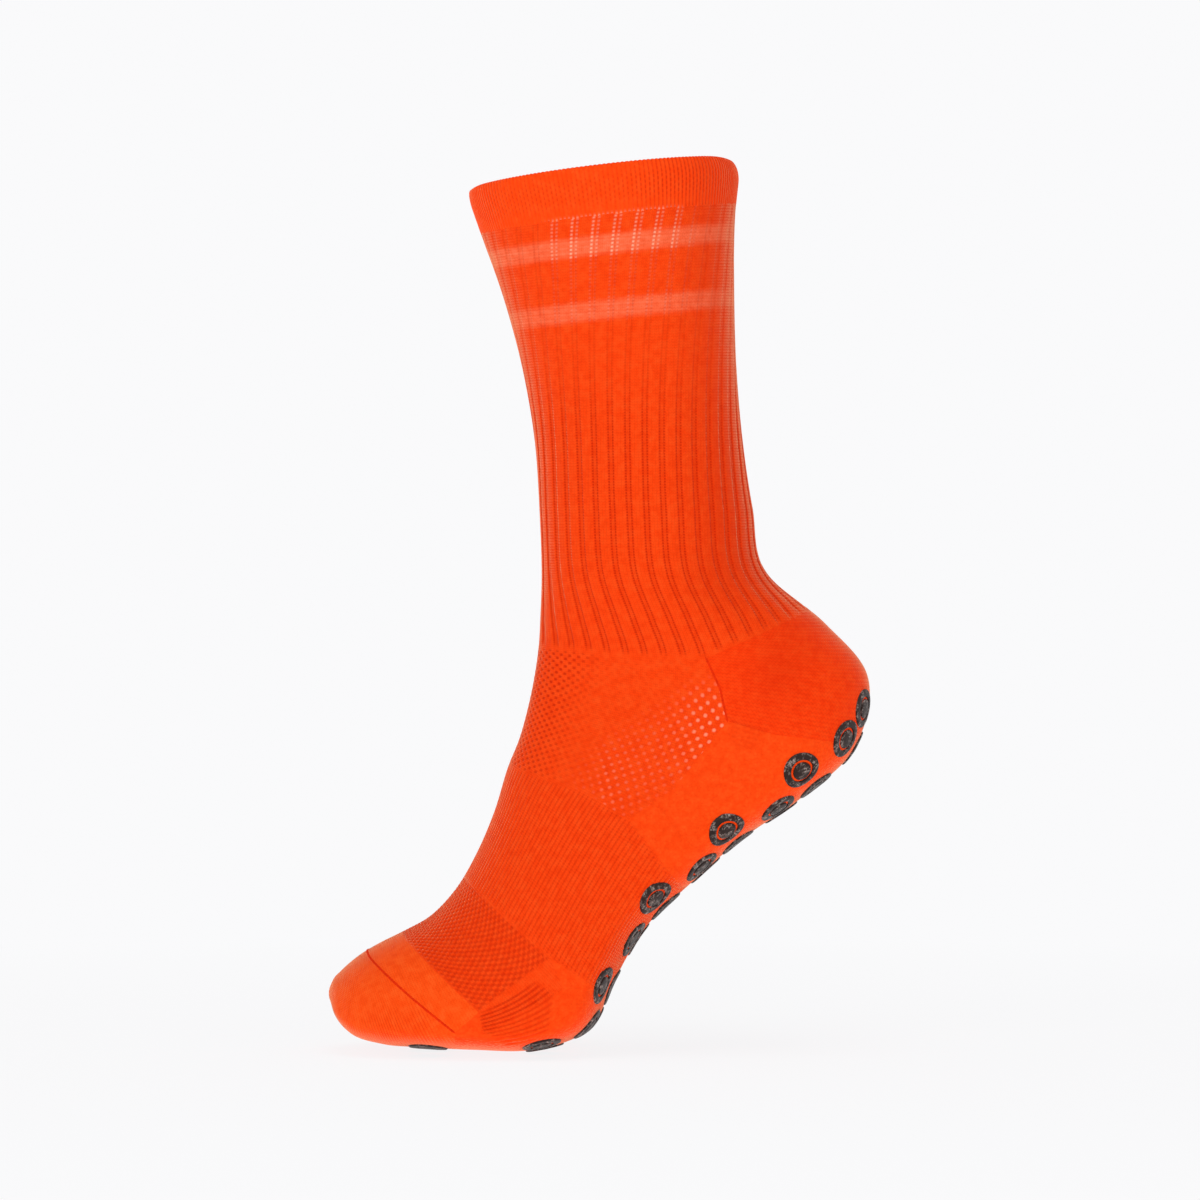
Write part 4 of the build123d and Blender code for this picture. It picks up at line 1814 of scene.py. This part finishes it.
@dataclass
class GripDots:
    """Printed silicone dots, each a round middle and a ring with the knit bare between them."""

    form: SockForm
    radius: float = 7.8
    height: float = 0.7
    sunk: float = 0.35
    ring_inside: float = 4.8
    middle_radius: float = 3.9
    steps: int = 48
    pace: float = 0.4
    groups: tuple[str, ...] = ("heel_grip_dots", "arch_grip_dots", "ball_grip_dots", "toe_grip_dots")

    def profiles(self) -> tuple[list[Point2], list[Point2]]:
        """The sections of the ring and of the middle, as radius and height."""
        r, g, m, h, low = self.radius, self.ring_inside, self.middle_radius, self.height, -self.sunk
        ring = [
            (r, low), (r, 0.1 * h), (r - 0.05, 0.45 * h), (r - 0.25, 0.75 * h), (r - 0.6, 0.92 * h), (r - 1.1, h),
            (g + 0.6, h), (g + 0.25, 0.88 * h), (g + 0.05, 0.6 * h), (g, 0.1 * h), (g, low), (r, low),
        ]
        middle = [(0.0, low), (m, low), (m, 0.1 * h), (m - 0.05, 0.6 * h), (m - 0.25, 0.88 * h), (m - 0.6, h),
                  (m / 2, 1.05 * h), (0.0, 1.06 * h)]
        return ring, middle

    def build(self) -> list[bpy.types.Object]:
        """Make every dot of each group on the place of its CAD dot."""
        material = SiliconeFinish().build()
        turns, along = np.arange(720) / 720, np.linspace(0, self.form.length, 900)
        face = self.form.lattice(turns, along)
        made = []
        for group in self.groups:
            joined = bmesh.new()
            for middle in self.places(group):
                gap = np.linalg.norm(face.points - np.array(middle) / MM, axis=-1)
                row, column = np.unravel_index(gap.argmin(), gap.shape)
                self.add_dot(joined, turns[column], along[row])
            bmesh.ops.recalc_face_normals(joined, faces=joined.faces)
            piece = add_object(f"{group}_silicone", mesh_from(joined, group))
            made.append(finish_piece(piece, material, "silicone_dots", group))
        return made

    def places(self, group: str) -> list[Vector]:
        """The middle of each dot of a CAD group.

        Args:
            group: The CAD node's name.

        Returns:
            The middles, in metres.
        """
        shape = bmesh.new()
        shape.from_mesh(bpy.data.objects[group].data)
        bmesh.ops.remove_doubles(shape, verts=shape.verts, dist=1e-6)
        left, found = set(shape.verts), []
        while left:
            island, queue = [], [left.pop()]
            while queue:
                vert = queue.pop()
                island.append(vert.co.copy())
                for edge in vert.link_edges:
                    other = edge.other_vert(vert)
                    if other in left:
                        left.remove(other)
                        queue.append(other)
            low = Vector(min(c[i] for c in island) for i in range(3))
            high = Vector(max(c[i] for c in island) for i in range(3))
            found.append((low + high) / 2)
        shape.free()
        return found

    def spread(self, turn: float, along: float) -> tuple[np.ndarray, np.ndarray]:
        """Walk on the sock's face every way from one place.

        Args:
            turn: Share of a turn of the place.
            along: Its distance along the sock.

        Returns:
            Points and outward directions, each of shape (paces, ways, 3).
        """
        ways = np.arange(self.steps) / self.steps * 2 * math.pi
        turns, rows = np.full(self.steps, turn), np.full(self.steps, along)
        point, across, down, out = self.form.frame(turns, rows)
        first = across / np.linalg.norm(across, axis=-1, keepdims=True)
        heading = np.cos(ways)[:, None] * first + np.sin(ways)[:, None] * np.cross(out, first)
        points, normals = [point], [out]
        for _ in range(int(math.ceil(self.radius / self.pace)) + 1):
            aa, ad, dd = (across * across).sum(-1), (across * down).sum(-1), (down * down).sum(-1)
            ha, hd = (heading * across).sum(-1), (heading * down).sum(-1)
            area = aa * dd - ad * ad
            turns = turns + self.pace * (ha * dd - hd * ad) / area
            rows = rows + self.pace * (hd * aa - ha * ad) / area
            point, across, down, out = self.form.frame(turns, rows)
            heading = heading - (heading * out).sum(-1, keepdims=True) * out
            heading = heading / np.linalg.norm(heading, axis=-1, keepdims=True)
            points.append(point)
            normals.append(out)
        return np.array(points), np.array(normals)

    def add_dot(self, joined: bmesh.types.BMesh, turn: float, along: float) -> None:
        """Spin one dot and lay it on the sock's face.

        Args:
            joined: The group's mesh, which the dot is added to.
            turn: Share of a turn of its middle.
            along: Distance along the sock of its middle.
        """
        points, normals = self.spread(turn, along)
        for profile in self.profiles():
            dot = bmesh.new()
            line = [dot.verts.new((radius * MM, 0, height * MM)) for radius, height in profile]
            edges = [dot.edges.new(pair) for pair in zip(line, line[1:])]
            bmesh.ops.spin(
                dot, geom=[*line, *edges], cent=(0, 0, 0), axis=(0, 0, 1), angle=2 * math.pi,
                steps=self.steps, use_merge=True,
            )
            bmesh.ops.remove_doubles(dot, verts=dot.verts, dist=MERGE)
            for vert in dot.verts:
                way = round(math.atan2(vert.co.y, vert.co.x) / (2 * math.pi) * self.steps) % self.steps
                paces = math.hypot(vert.co.x, vert.co.y) / MM / self.pace
                here, part = int(paces), paces % 1
                spot = points[here, way] * (1 - part) + points[here + 1, way] * part
                out = normals[here, way] * (1 - part) + normals[here + 1, way] * part
                vert.co = Vector(spot * MM) + Vector(out) * vert.co.z
            join_mesh(joined, mesh_from(dot, "dot"))


@dataclass
class Seams:
    """The linked toe seam and the gore seams beside the heel, as low ridges of stitched thread."""

    form: SockForm
    width: float = 0.95
    height: float = 0.28
    sunk: float = 0.02
    stitch: float = 1.5

    def build(self) -> list[bpy.types.Object]:
        """Make the toe seam and the two gore seams."""
        point = self.form.foot_point
        toe = [point(0.960, 0.270), point(0.909, 0.025), point(0.875, -0.060), point(0.841, -0.140)]
        gore = [point(0.204, 0.185), point(0.208, 0.132), point(0.223, 0.081)]
        finish = ThreadFinish("seam_thread", colour(222, 46, 4), colour(186, 30, 1)).build()
        made = []
        for name, line, node, half_turns, by_rows in (
            ("toe_linking_stitches", toe, "toe_linking_seam", ((0.02, 0.98),), False),
            ("heel_gore_stitches", gore, "heel_gore_seams", ((0.05, 0.45), (0.55, 0.95)), True),
        ):
            joined = bmesh.new()
            for first, last in half_turns:
                join_mesh(joined, self.ridge(name, self.path(line, first, last, by_rows)))
            piece = add_object(name, mesh_from(joined, name))
            made.append(finish_piece(piece, finish, "seam_thread", node))
        return made

    def path(self, line: Sequence[Point2], first: float, last: float, by_rows: bool) -> tuple[np.ndarray, np.ndarray]:
        """Where the sock's face meets a line of the side view.

        Args:
            line: The seam's line, in millimetres.
            first: Share of a turn to start at.
            last: Share of a turn to stop at.
            by_rows: Whether the line runs along the sock, so that each row meets it once.

        Returns:
            Shares of a turn and distances along, in order.
        """
        turns, along = np.linspace(first, last, 900), np.linspace(0, self.form.length - 0.5, 1400)
        lattice = self.form.lattice(turns, along)
        x, z = lattice.points[..., 0], lattice.points[..., 2]
        side = side_of(line, x, z)
        if by_rows:
            side = side.T
        found_turns, found_along = [], []
        for column in range(side.shape[1]):
            here = side[:, column]
            steps = np.nonzero((here[:-1] * here[1:] <= 0) & (np.abs(here[:-1]) < 1) & (np.abs(here[1:]) < 1))[0]
            if not len(steps):
                continue
            step = steps[0]
            part = here[step] / (here[step] - here[step + 1] + 1e-12)
            walked = along if not by_rows else turns
            crossing = walked[step] + part * (walked[step + 1] - walked[step])
            found_turns.append(crossing if by_rows else turns[column])
            found_along.append(along[column] if by_rows else crossing)
        return np.array(found_turns), np.array(found_along)

    def ridge(self, name: str, path: tuple[np.ndarray, np.ndarray]) -> bpy.types.Mesh:
        """A low rounded ridge with a row of stitches along a path on the sock's face.

        Args:
            name: The mesh's name.
            path: Shares of a turn and distances along.

        Returns:
            The mesh.
        """
        point, _, _, out = self.form.frame(*path)
        walked = np.concatenate([[0], np.cumsum(np.linalg.norm(np.diff(point, axis=0), axis=-1))])
        even = np.linspace(0, walked[-1], int(walked[-1] / (self.stitch / 5)) + 2)
        point = np.stack([np.interp(even, walked, point[:, i]) for i in range(3)], -1)
        out = np.stack([np.interp(even, walked, out[:, i]) for i in range(3)], -1)
        ahead = np.gradient(point, axis=0)
        ahead /= np.linalg.norm(ahead, axis=-1, keepdims=True)
        side = np.cross(out, ahead)
        swell = 0.75 + 0.25 * np.abs(np.sin(math.pi * even / self.stitch))
        taper = np.minimum(np.minimum(even, walked[-1] - even) / 1.5, 1.0)
        bends = np.linspace(0, 2 * math.pi, 13)
        rows = [
            point
            + side * (self.width / 2 * swell * taper * math.cos(bend))[:, None]
            + out * (self.height * swell * taper * math.sin(bend) - self.sunk)[:, None]
            for bend in bends
        ]
        points = np.array(rows)
        knit_map = np.zeros((*points.shape[:2], 2))
        return lay_grid(name, points, knit_map, {}, closed=False, join_rows=True, facing=Facing.TUBE)


# ---- Stage ----


def aim(thing: bpy.types.Object, place: Point3, target: Point3) -> None:
    """Put a camera or a lamp in the scene, turned to a target.

    Args:
        thing: The camera or the lamp.
        place: Where it stands, in metres.
        target: What it is turned to, in metres.
    """
    thing.location = place
    thing.rotation_mode = "QUATERNION"
    thing.rotation_quaternion = (Vector(target) - Vector(place)).to_track_quat("-Z", "Y")
    bpy.context.scene.collection.objects.link(thing)


@dataclass(frozen=True)
class Lamp:
    """A soft square lamp: its place and its size in metres, and its power in watts."""

    name: str
    place: Point3
    size: float
    power: float

    def build(self, target: Point3) -> None:
        """Hang the lamp, turned to a target.

        Args:
            target: What it is turned to, in metres.
        """
        data = bpy.data.lights.new(self.name, "AREA")
        data.size, data.energy = self.size, self.power
        aim(bpy.data.objects.new(self.name, data), self.place, target)


@dataclass(frozen=True)
class Studio:
    """A pale floor, soft lamps, a white surround and the camera, in metres."""

    distance: float = 2.45
    frame_width: float = 0.480
    sensor: float = 36.0
    nearest: float = 0.05
    farthest: float = 30.0
    eye_level: float = -0.120
    target: Point3 = (-0.0012, 0.0, -0.168)
    lamp_target: Point3 = (0.0, 0.0, -0.17)
    lamps: tuple[Lamp, ...] = (
        Lamp("key_lamp", (-1.3, -1.9, 1.1), 0.9, 9.0),
        Lamp("fill_lamp", (1.6, -1.6, 0.2), 1.2, 3.5),
        Lamp("top_lamp", (0.1, -0.5, 1.9), 1.2, 15.0),
        Lamp("low_lamp", (-0.35, -1.1, -0.27), 0.14, 1.2),
    )
    white: Colour = (0.955, 0.955, 0.955 * 1.01, 1.0)
    paper: Colour = (0.95, 0.95, 0.955, 1.0)
    surround: float = 0.52
    floor_size: float = 6.0
    floor_glow: float = 0.5
    floor_drop: float = 0.0005
    shadow_reach: Point2 = (0.36, 0.7)
    shadow_cover: Point2 = (0.9, 1.0)

    def build(self, lowest: float) -> None:
        """Set up the stage below the sock.

        Args:
            lowest: Height of the sock's lowest point, in metres.
        """
        self.camera()
        self.world()
        self.floor(lowest - self.floor_drop)
        for lamp in self.lamps:
            lamp.build(self.lamp_target)
        bpy.context.scene.view_settings.view_transform = "Standard"

    def camera(self) -> None:
        """A long lens at the height of the leg's middle."""
        data = bpy.data.cameras.new("camera")
        data.sensor_width, data.lens = self.sensor, self.sensor * self.distance / self.frame_width
        data.clip_start, data.clip_end = self.nearest, self.farthest
        camera = bpy.data.objects.new("camera", data)
        aim(camera, (self.target[0], -self.distance, self.eye_level), self.target)
        bpy.context.scene.camera = camera

    def seen(self, nodes: Nodes) -> Value:
        """1 for rays that show the surround itself: camera, glossy and transmission rays.

        Args:
            nodes: The node tree.

        Returns:
            The value.
        """
        path = nodes.node("ShaderNodeLightPath", {}, {})
        camera, glossy, through = (
            Value(nodes, path.outputs[name]) for name in ("Is Camera Ray", "Is Glossy Ray", "Is Transmission Ray")
        )
        return camera.maths("MAXIMUM", glossy).maths("MAXIMUM", through)

    def world(self) -> None:
        """White to the eye, and a softer even light on the sock."""
        world = bpy.data.worlds.new("surround")
        bpy.context.scene.world = world
        nodes = Nodes(world)
        light = nodes.node("ShaderNodeBackground", {}, {"Color": (1, 1, 1, 1), "Strength": self.surround})
        shown = nodes.node("ShaderNodeBackground", {}, {"Color": self.white})
        mix = nodes.node("ShaderNodeMixShader", {}, {0: self.seen(nodes), 1: light.outputs[0], 2: shown.outputs[0]})
        nodes.node("ShaderNodeOutputWorld", {}, {"Surface": mix.outputs[0]})

    def floor(self, level: float) -> None:
        """A wide pale floor that keeps a faint shadow.

        Args:
            level: Its height, in metres.
        """
        shape = bmesh.new()
        bmesh.ops.create_grid(shape, x_segments=1, y_segments=1, size=self.floor_size)
        bmesh.ops.translate(shape, verts=shape.verts, vec=(0, 0, level))
        floor = add_object("floor", mesh_from(shape, "floor"))
        floor.data.materials.append(self.floor_paper())
        floor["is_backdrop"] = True

    def floor_paper(self) -> bpy.types.Material:
        """Paper that glows onto the sock, and to the eye turns into the white surround."""
        material = bpy.data.materials.new("floor_paper")
        nodes = Nodes(material)
        seen = self.seen(nodes)
        paper = nodes.node("ShaderNodeBsdfDiffuse", {}, {"Color": self.paper})
        glow = nodes.node("ShaderNodeEmission", {}, {"Strength": (1 - seen) * self.floor_glow})
        lit = nodes.node("ShaderNodeAddShader", {}, {0: paper.outputs[0], 1: glow.outputs[0]})
        shown = nodes.node("ShaderNodeEmission", {}, {"Color": self.white})
        place = nodes.node("ShaderNodeTexCoord", {}, {})
        away = nodes.node("ShaderNodeVectorMath", {"operation": "LENGTH"}, {0: place.outputs["Object"]})
        limits = dict(zip(("From Min", "From Max", "To Min", "To Max"), (*self.shadow_reach, *self.shadow_cover)))
        clear = nodes.node("ShaderNodeMapRange", {}, {"Value": away.outputs["Value"], **limits})
        covered = seen * Value(nodes, clear.outputs["Result"])
        mix = nodes.node("ShaderNodeMixShader", {}, {0: covered, 1: lit.outputs[0], 2: shown.outputs[0]})
        nodes.node("ShaderNodeOutputMaterial", {}, {"Surface": mix.outputs[0]})
        return material


# ---- The whole sock ----


def outlines(form: SockForm, reach: float = 400.0) -> dict[str, list[Point2]]:
    """The outline of each knitted zone in the side view.

    Args:
        form: The sock's form.
        reach: How far the outlines run out past the sock, where its own edge ends a zone.

    Returns:
        The outlines by the zones' names.
    """
    point = form.foot_point

    def level(drop: float) -> tuple[Point2, Point2]:
        """One course round the leg, at a drop below the opening."""
        rise = form.level_slope(drop) * reach
        return (-reach, -drop - rise), (reach, -drop + rise)

    def band(upper: float, lower: float) -> list[Point2]:
        """The band between two drops."""
        return [*level(upper), *reversed(level(lower))]

    rib_end_front, rib_end, heel_top_out = point(0.716, 0.526), point(0.308, 0.244), point(-0.118, 0.158)
    gore_top, gore_middle, gore_end = point(0.204, 0.185), point(0.208, 0.132), point(0.223, 0.081)
    instep_out, mesh_low, mesh_tip = point(0.708, 0.332), point(0.477, 0.092), point(0.436, 0.020)
    mesh_back, heel_sole_bend = point(0.350, 0.028), point(0.169, 0.027)
    heel_sole_out, heel_under = point(-0.113, -0.181), point(-0.113, -0.450)
    arch_out, ball_out = point(0.371, -0.400), point(0.488, -0.420)
    forefoot_back, forefoot_low = point(0.650, -0.111), point(0.792, -0.130)
    forefoot_out, toe_top_out = point(0.810, 0.319), point(0.940, 0.300)
    gather_back, gather_low, toe_under = point(0.656, -0.163), point(0.803, -0.164), point(0.962, -0.359)
    seam_out, seam_top = point(0.960, 0.270), point(0.909, 0.025)
    seam_middle, seam_end = point(0.875, -0.060), point(0.841, -0.140)
    bands = form.bands
    first_end, second_end = bands.first_stripe + bands.stripe, bands.second_stripe + bands.stripe
    tube_front, tube_back = level(second_end)
    return {
        "upper_rib_band": band(bands.welt - bands.welt_overlap, bands.first_stripe),
        "upper_stripe": band(bands.first_stripe, first_end),
        "middle_rib_band": band(first_end, bands.second_stripe),
        "lower_stripe": band(bands.second_stripe, second_end),
        "leg_rib_tube": [
            tube_front, tube_back, (reach, heel_top_out[1]), heel_top_out, gore_top, rib_end, rib_end_front,
            (-reach, rib_end_front[1]),
        ],
        "instep_mesh": [
            rib_end_front, rib_end, gore_top, gore_middle, gore_end, mesh_back, mesh_tip, mesh_low, instep_out,
        ],
        "heel_pocket": [gore_top, heel_top_out, heel_sole_out, heel_sole_bend, gore_end, gore_middle],
        "heel_sole_pad": [gore_end, heel_sole_bend, heel_sole_out, heel_under, arch_out, mesh_tip, mesh_back],
        "midfoot_rib_band": [instep_out, mesh_low, mesh_tip, arch_out, ball_out, forefoot_back, forefoot_out],
        "forefoot_mesh": [forefoot_out, forefoot_back, forefoot_low, toe_top_out],
        "side_gathers": [forefoot_back, gather_back, gather_low, forefoot_low],
        "ball_sole_pad": [forefoot_back, ball_out, toe_under, seam_end, forefoot_low, gather_low, gather_back],
        "toe_bridge": [toe_top_out, forefoot_low, seam_end, seam_middle, seam_top, seam_out],
        "toe_pocket": [
            seam_out, seam_top, seam_middle, seam_end, toe_under, point(1.3, -0.359), point(1.3, 0.270),
        ],
    }


def knit_panels(lines: dict[str, list[Point2]]) -> list[Panel]:
    """The panels with their finishes, from the top down.

    Args:
        lines: The outlines by the zones' names.

    Returns:
        The panels.
    """
    rib = KnitFinish("rib_knit", Knit.WIDE_RIB, ORANGE)
    stripe = KnitFinish("stripe_knit", Knit.WIDE_RIB, ORANGE)
    mesh = KnitFinish("mesh_knit", Knit.MESH, ORANGE)
    heel = KnitFinish("heel_knit", Knit.HEEL, HEEL_ORANGE, course=1.3)
    terry = KnitFinish("terry_knit", Knit.TERRY, SOLE_ORANGE, stitch_depth=0.00012)
    fine = KnitFinish("fine_rib_knit", Knit.FINE_RIB, ORANGE)
    open_mesh = KnitFinish("open_mesh_knit", Knit.OPEN_MESH, ORANGE)
    gather = KnitFinish("gather_knit", Knit.GATHER, ORANGE)
    toe = KnitFinish("toe_knit", Knit.TOE, LIT_TOE_ORANGE, course=1.2)
    rows = (
        ("upper_rib_band", "knit_orange", rib, 640, 1.0),
        ("upper_stripe", "stripe_coral", stripe, 640, 1.0),
        ("middle_rib_band", "knit_orange", rib, 640, 1.0),
        ("lower_stripe", "stripe_coral", stripe, 640, 1.0),
        ("leg_rib_tube", "knit_orange", rib, 640, 1.3),
        ("instep_mesh", "mesh_orange", mesh, 640, 0.6),
        ("heel_pocket", "heel_orange", heel, 480, 0.9),
        ("heel_sole_pad", "terry_orange", terry, 480, 0.9),
        ("midfoot_rib_band", "knit_orange", fine, 800, 0.9),
        ("forefoot_mesh", "mesh_orange", open_mesh, 640, 0.5),
        ("side_gathers", "knit_orange", gather, 640, 0.4),
        ("ball_sole_pad", "terry_orange", terry, 480, 0.8),
        ("toe_bridge", "heel_orange", toe, 640, 0.7),
        ("toe_pocket", "heel_orange", toe, 480, 0.7),
    )
    return [
        Panel(name, tuple(lines[name]), slot, finish, columns, pitch)
        for name, slot, finish, columns, pitch in rows
    ]


def main() -> None:
    logging.basicConfig(level=logging.INFO, format="%(name)s: %(message)s")
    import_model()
    form = SockForm()
    gauge = KnitGauge()
    Welt(form, gauge).build()
    SockSkin(form, Relief(form, gauge)).build(knit_panels(outlines(form)))
    Seams(form).build()
    GripDots(form).build()
    low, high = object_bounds()
    Studio().build(low.z)


if __name__ == "__main__":
    main()
